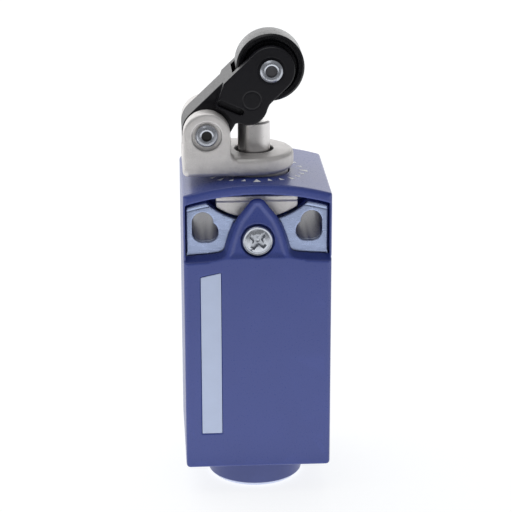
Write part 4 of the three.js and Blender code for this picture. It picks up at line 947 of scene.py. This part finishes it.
def make_lever():
    neck = prism(lever_outline(True), "y", HEAD_Y - NECK_HALF, HEAD_Y + NECK_HALF, 0.25, 3)
    fork = prism(lever_outline(False), "y", HEAD_Y - FORK_HALF, HEAD_Y + FORK_HALF, 0.2, 3)
    hollow = arc(PIVOT_X + 6.9, PIVOT_Z + 4.3, 0.65, -0.634, 0.366, 10)
    hollow += arc(PIVOT_X + 2.9, PIVOT_Z + 6.1, 0.65, 0.366, 1.366, 10)
    faces = (HEAD_Y - FORK_HALF, HEAD_Y + FORK_HALF)
    mark_x, mark_z = PIVOT_X + 9.2, PIVOT_Z + 6.6
    tools = [
        rod("y", ROLLER_HIGH.x - AXLE_X + ROLLER_CLEARANCE, ROLLER_LOW.y - GAP, ROLLER_HIGH.y + GAP,
            (AXLE_X, AXLE_Z), 128),
        rod("y", PIVOT_RADIUS + FIT, faces[0] - 1, faces[1] + 1, (PIVOT_X, PIVOT_Z)),
        rod("y", AXLE_RADIUS + FIT, faces[0] - 1, faces[1] + 1, (AXLE_X, AXLE_Z)),
    ]
    for face, inward in ((faces[0], 1), (faces[1], -1)):
        tools.append(prism(hollow, "y", *sorted((face - inward, face + HOLLOW_DEPTH * inward))))
        low, high = sorted((face - inward, face + SEAT_MARK * inward))
        tools.append(rod("y", 2.75, low, high, (AXLE_X, AXLE_Z)))
        tools.append(lathe([(1.7, low), (1.95, low), (1.95, high), (1.7, high)], "y", (mark_x, mark_z)))
    solid = cut(join(neck, fork), *tools)
    soften(solid, 0.1, 2, 0.35)
    return finish_piece(solid, "lever_moulding", BLACK, "lever", ["lever_arm"])


def make_roller():
    y0, y1 = ROLLER_LOW.y, ROLLER_HIGH.y
    radius = ROLLER_HIGH.x - AXLE_X
    bore = AXLE_RADIUS + FIT
    hub = AXLE_RADIUS + 1.5
    rim = radius - 1.25
    dish = 0.75
    side = [(bore, y0), (hub, y0), (hub + 0.25, y0 + dish), (rim - 0.3, y0 + dish), (rim, y0 + 0.05),
            (radius - 0.4, y0), (radius, y0 + 0.4)]
    mirrored = [(r, y0 + y1 - level) for r, level in reversed(side)]
    solid = lathe(side + mirrored, "y", (AXLE_X, AXLE_Z), 0.15, 160)
    return finish_piece(solid, "roller_turned", ROLLER_BLACK, "roller_body", ["roller"], 50)


# ---------- Printed dial ----------
def crown_height(x):
    return CROWN - CROWN_RADIUS + math.sqrt(CROWN_RADIUS ** 2 - x * x)


def make_dial():
    """Pale triangles round the head, every 15 degrees, larger on the quarters."""
    film = 0.02
    points, faces = [], []
    for index in range(24):
        turn = index * math.pi / 12
        length, width = 1.2, 0.5
        if index % 3 == 0:
            length, width = 1.5, 0.62
        if index % 6 == 0:
            length, width = 1.8, 0.78
        inner, outer = DIAL_RADIUS, DIAL_RADIUS + length
        corners = [(inner, 0.06), (inner, -0.06), (outer, -width), (outer, width)]
        start = len(points)
        for level in (0.004, film):
            for along, across in corners:
                x = along * math.cos(turn) - across * math.sin(turn)
                y = HEAD_Y + along * math.sin(turn) + across * math.cos(turn)
                points.append((x, y, crown_height(x) + level))
        a, b, c, d, e, f, g, h = range(start, start + 8)
        faces += [(a, b, c, d), (h, g, f, e), (a, e, f, b), (b, f, g, c), (c, g, h, d), (d, h, e, a)]
    solid = add_mesh("dial", points, faces)
    return finish_piece(solid, "dial_marks", INK, "root", [], 20)


make_housing()
make_cover()
make_label()
make_plate()
make_lock()
make_cover_screw()
make_cable_entry()
make_bracket()
# Each rivet's bore is closed by a dark disc as painted shade: rubber-coloured on the pivot, dark grey on the
# axle.
make_rivet("pivot_rivet_rolled", "lever_pivot_rivet", PIVOT_X, PIVOT_Z, PIVOT_RADIUS, "head", 1.0, RUBBER)
make_rivet("axle_rivet_rolled", "roller_axle_rivet", AXLE_X, AXLE_Z, AXLE_RADIUS, "lever", 1.15, BORE_SHADE)
make_plunger()
make_wiper()
make_lever()
make_roller()
make_dial()


# ---------- Studio ----------
FLOOR_GLOW = 0.86


def make_floor():
    reach = 4.0
    corners = [(a, b, 0) for a, b in rectangle(-reach, reach, -reach, reach)]
    floor = add_mesh("floor", corners, [(0, 1, 2, 3)])
    paint = material("floor_paint", (0.22, 0.22, 0.22, 1.0), 0.9, grain=2, depth=0.01, mottle=80,
                     variation=0.01)
    shader = paint.node_tree.nodes["Principled BSDF"]
    shader.inputs["Emission Color"].default_value = (0.98, 0.99, 1.0, 1.0)
    shader.inputs["Emission Strength"].default_value = FLOOR_GLOW
    floor.data.materials.append(paint)


def make_dark_card():
    """A flag on the floor before the part: unseen itself, it darkens reflections and the floor under it."""
    near, far, side, lift = -0.215, -1.6, 1.2, 0.002
    corners = [(a, b, lift) for a, b in rectangle(-side, side, far, near)]
    card = add_mesh("dark_card", corners, [(0, 1, 2, 3)])
    card.data.materials.append(material("card_felt", (0.02, 0.02, 0.025, 1.0), 0.95, grain=2, mottle=60))
    card.visible_camera = False
    card.visible_shadow = False


def area_light(name, place_at, aim, width, height, radiance):
    light = bpy.data.lights.new(name, "AREA")
    light.shape = "RECTANGLE"
    light.size = width
    light.size_y = height
    light.energy = radiance * math.pi * width * height
    holder = bpy.data.objects.new(name, light)
    holder.location = place_at
    holder.rotation_euler = (Vector(aim) - Vector(place_at)).to_track_quat("-Z", "Y").to_euler()
    holder.visible_camera = False
    bpy.context.scene.collection.objects.link(holder)


CAMERA_YAW = math.radians(3.322)
CAMERA_PITCH = math.radians(18.767)
CAMERA_ROLL = math.radians(-0.159)
CAMERA_PLACE = Vector((-22.14, -389.5, 180.11)) * MM
CAMERA_LENS = 138.28


def make_camera():
    lens = bpy.data.cameras.new("camera")
    lens.lens = CAMERA_LENS
    lens.sensor_width = 36
    lens.clip_start = 0.01
    camera = bpy.data.objects.new("camera", lens)
    turn = (Matrix.Rotation(-CAMERA_YAW, 4, "Z") @ Matrix.Rotation(math.pi / 2 - CAMERA_PITCH, 4, "X")
            @ Matrix.Rotation(CAMERA_ROLL, 4, "Z"))
    camera.matrix_world = Matrix.Translation(CAMERA_PLACE) @ turn
    bpy.context.scene.collection.objects.link(camera)
    bpy.context.scene.camera = camera


make_floor()
make_dark_card()
make_camera()
area_light("softbox_above", (-0.25, 0.25, 1.1), (0, 0, 0), 1.4, 1.2, 1.25)
area_light("front_glow", (0, -0.12, 0.003), (0, -0.12, 1), 0.5, 0.19, 0.35)
area_light("backdrop", (-0.3, 1.6, 0.45), (0, 0, 0.05), 3.2, 1.0, 1.35)
world = bpy.data.worlds.new("studio")
world.use_nodes = True
world.node_tree.nodes["Background"].inputs["Color"].default_value = (0.97, 0.98, 1.0, 1.0)
world.node_tree.nodes["Background"].inputs["Strength"].default_value = 0.3
bpy.context.scene.world = world
bpy.context.scene.view_settings.view_transform = "Standard"
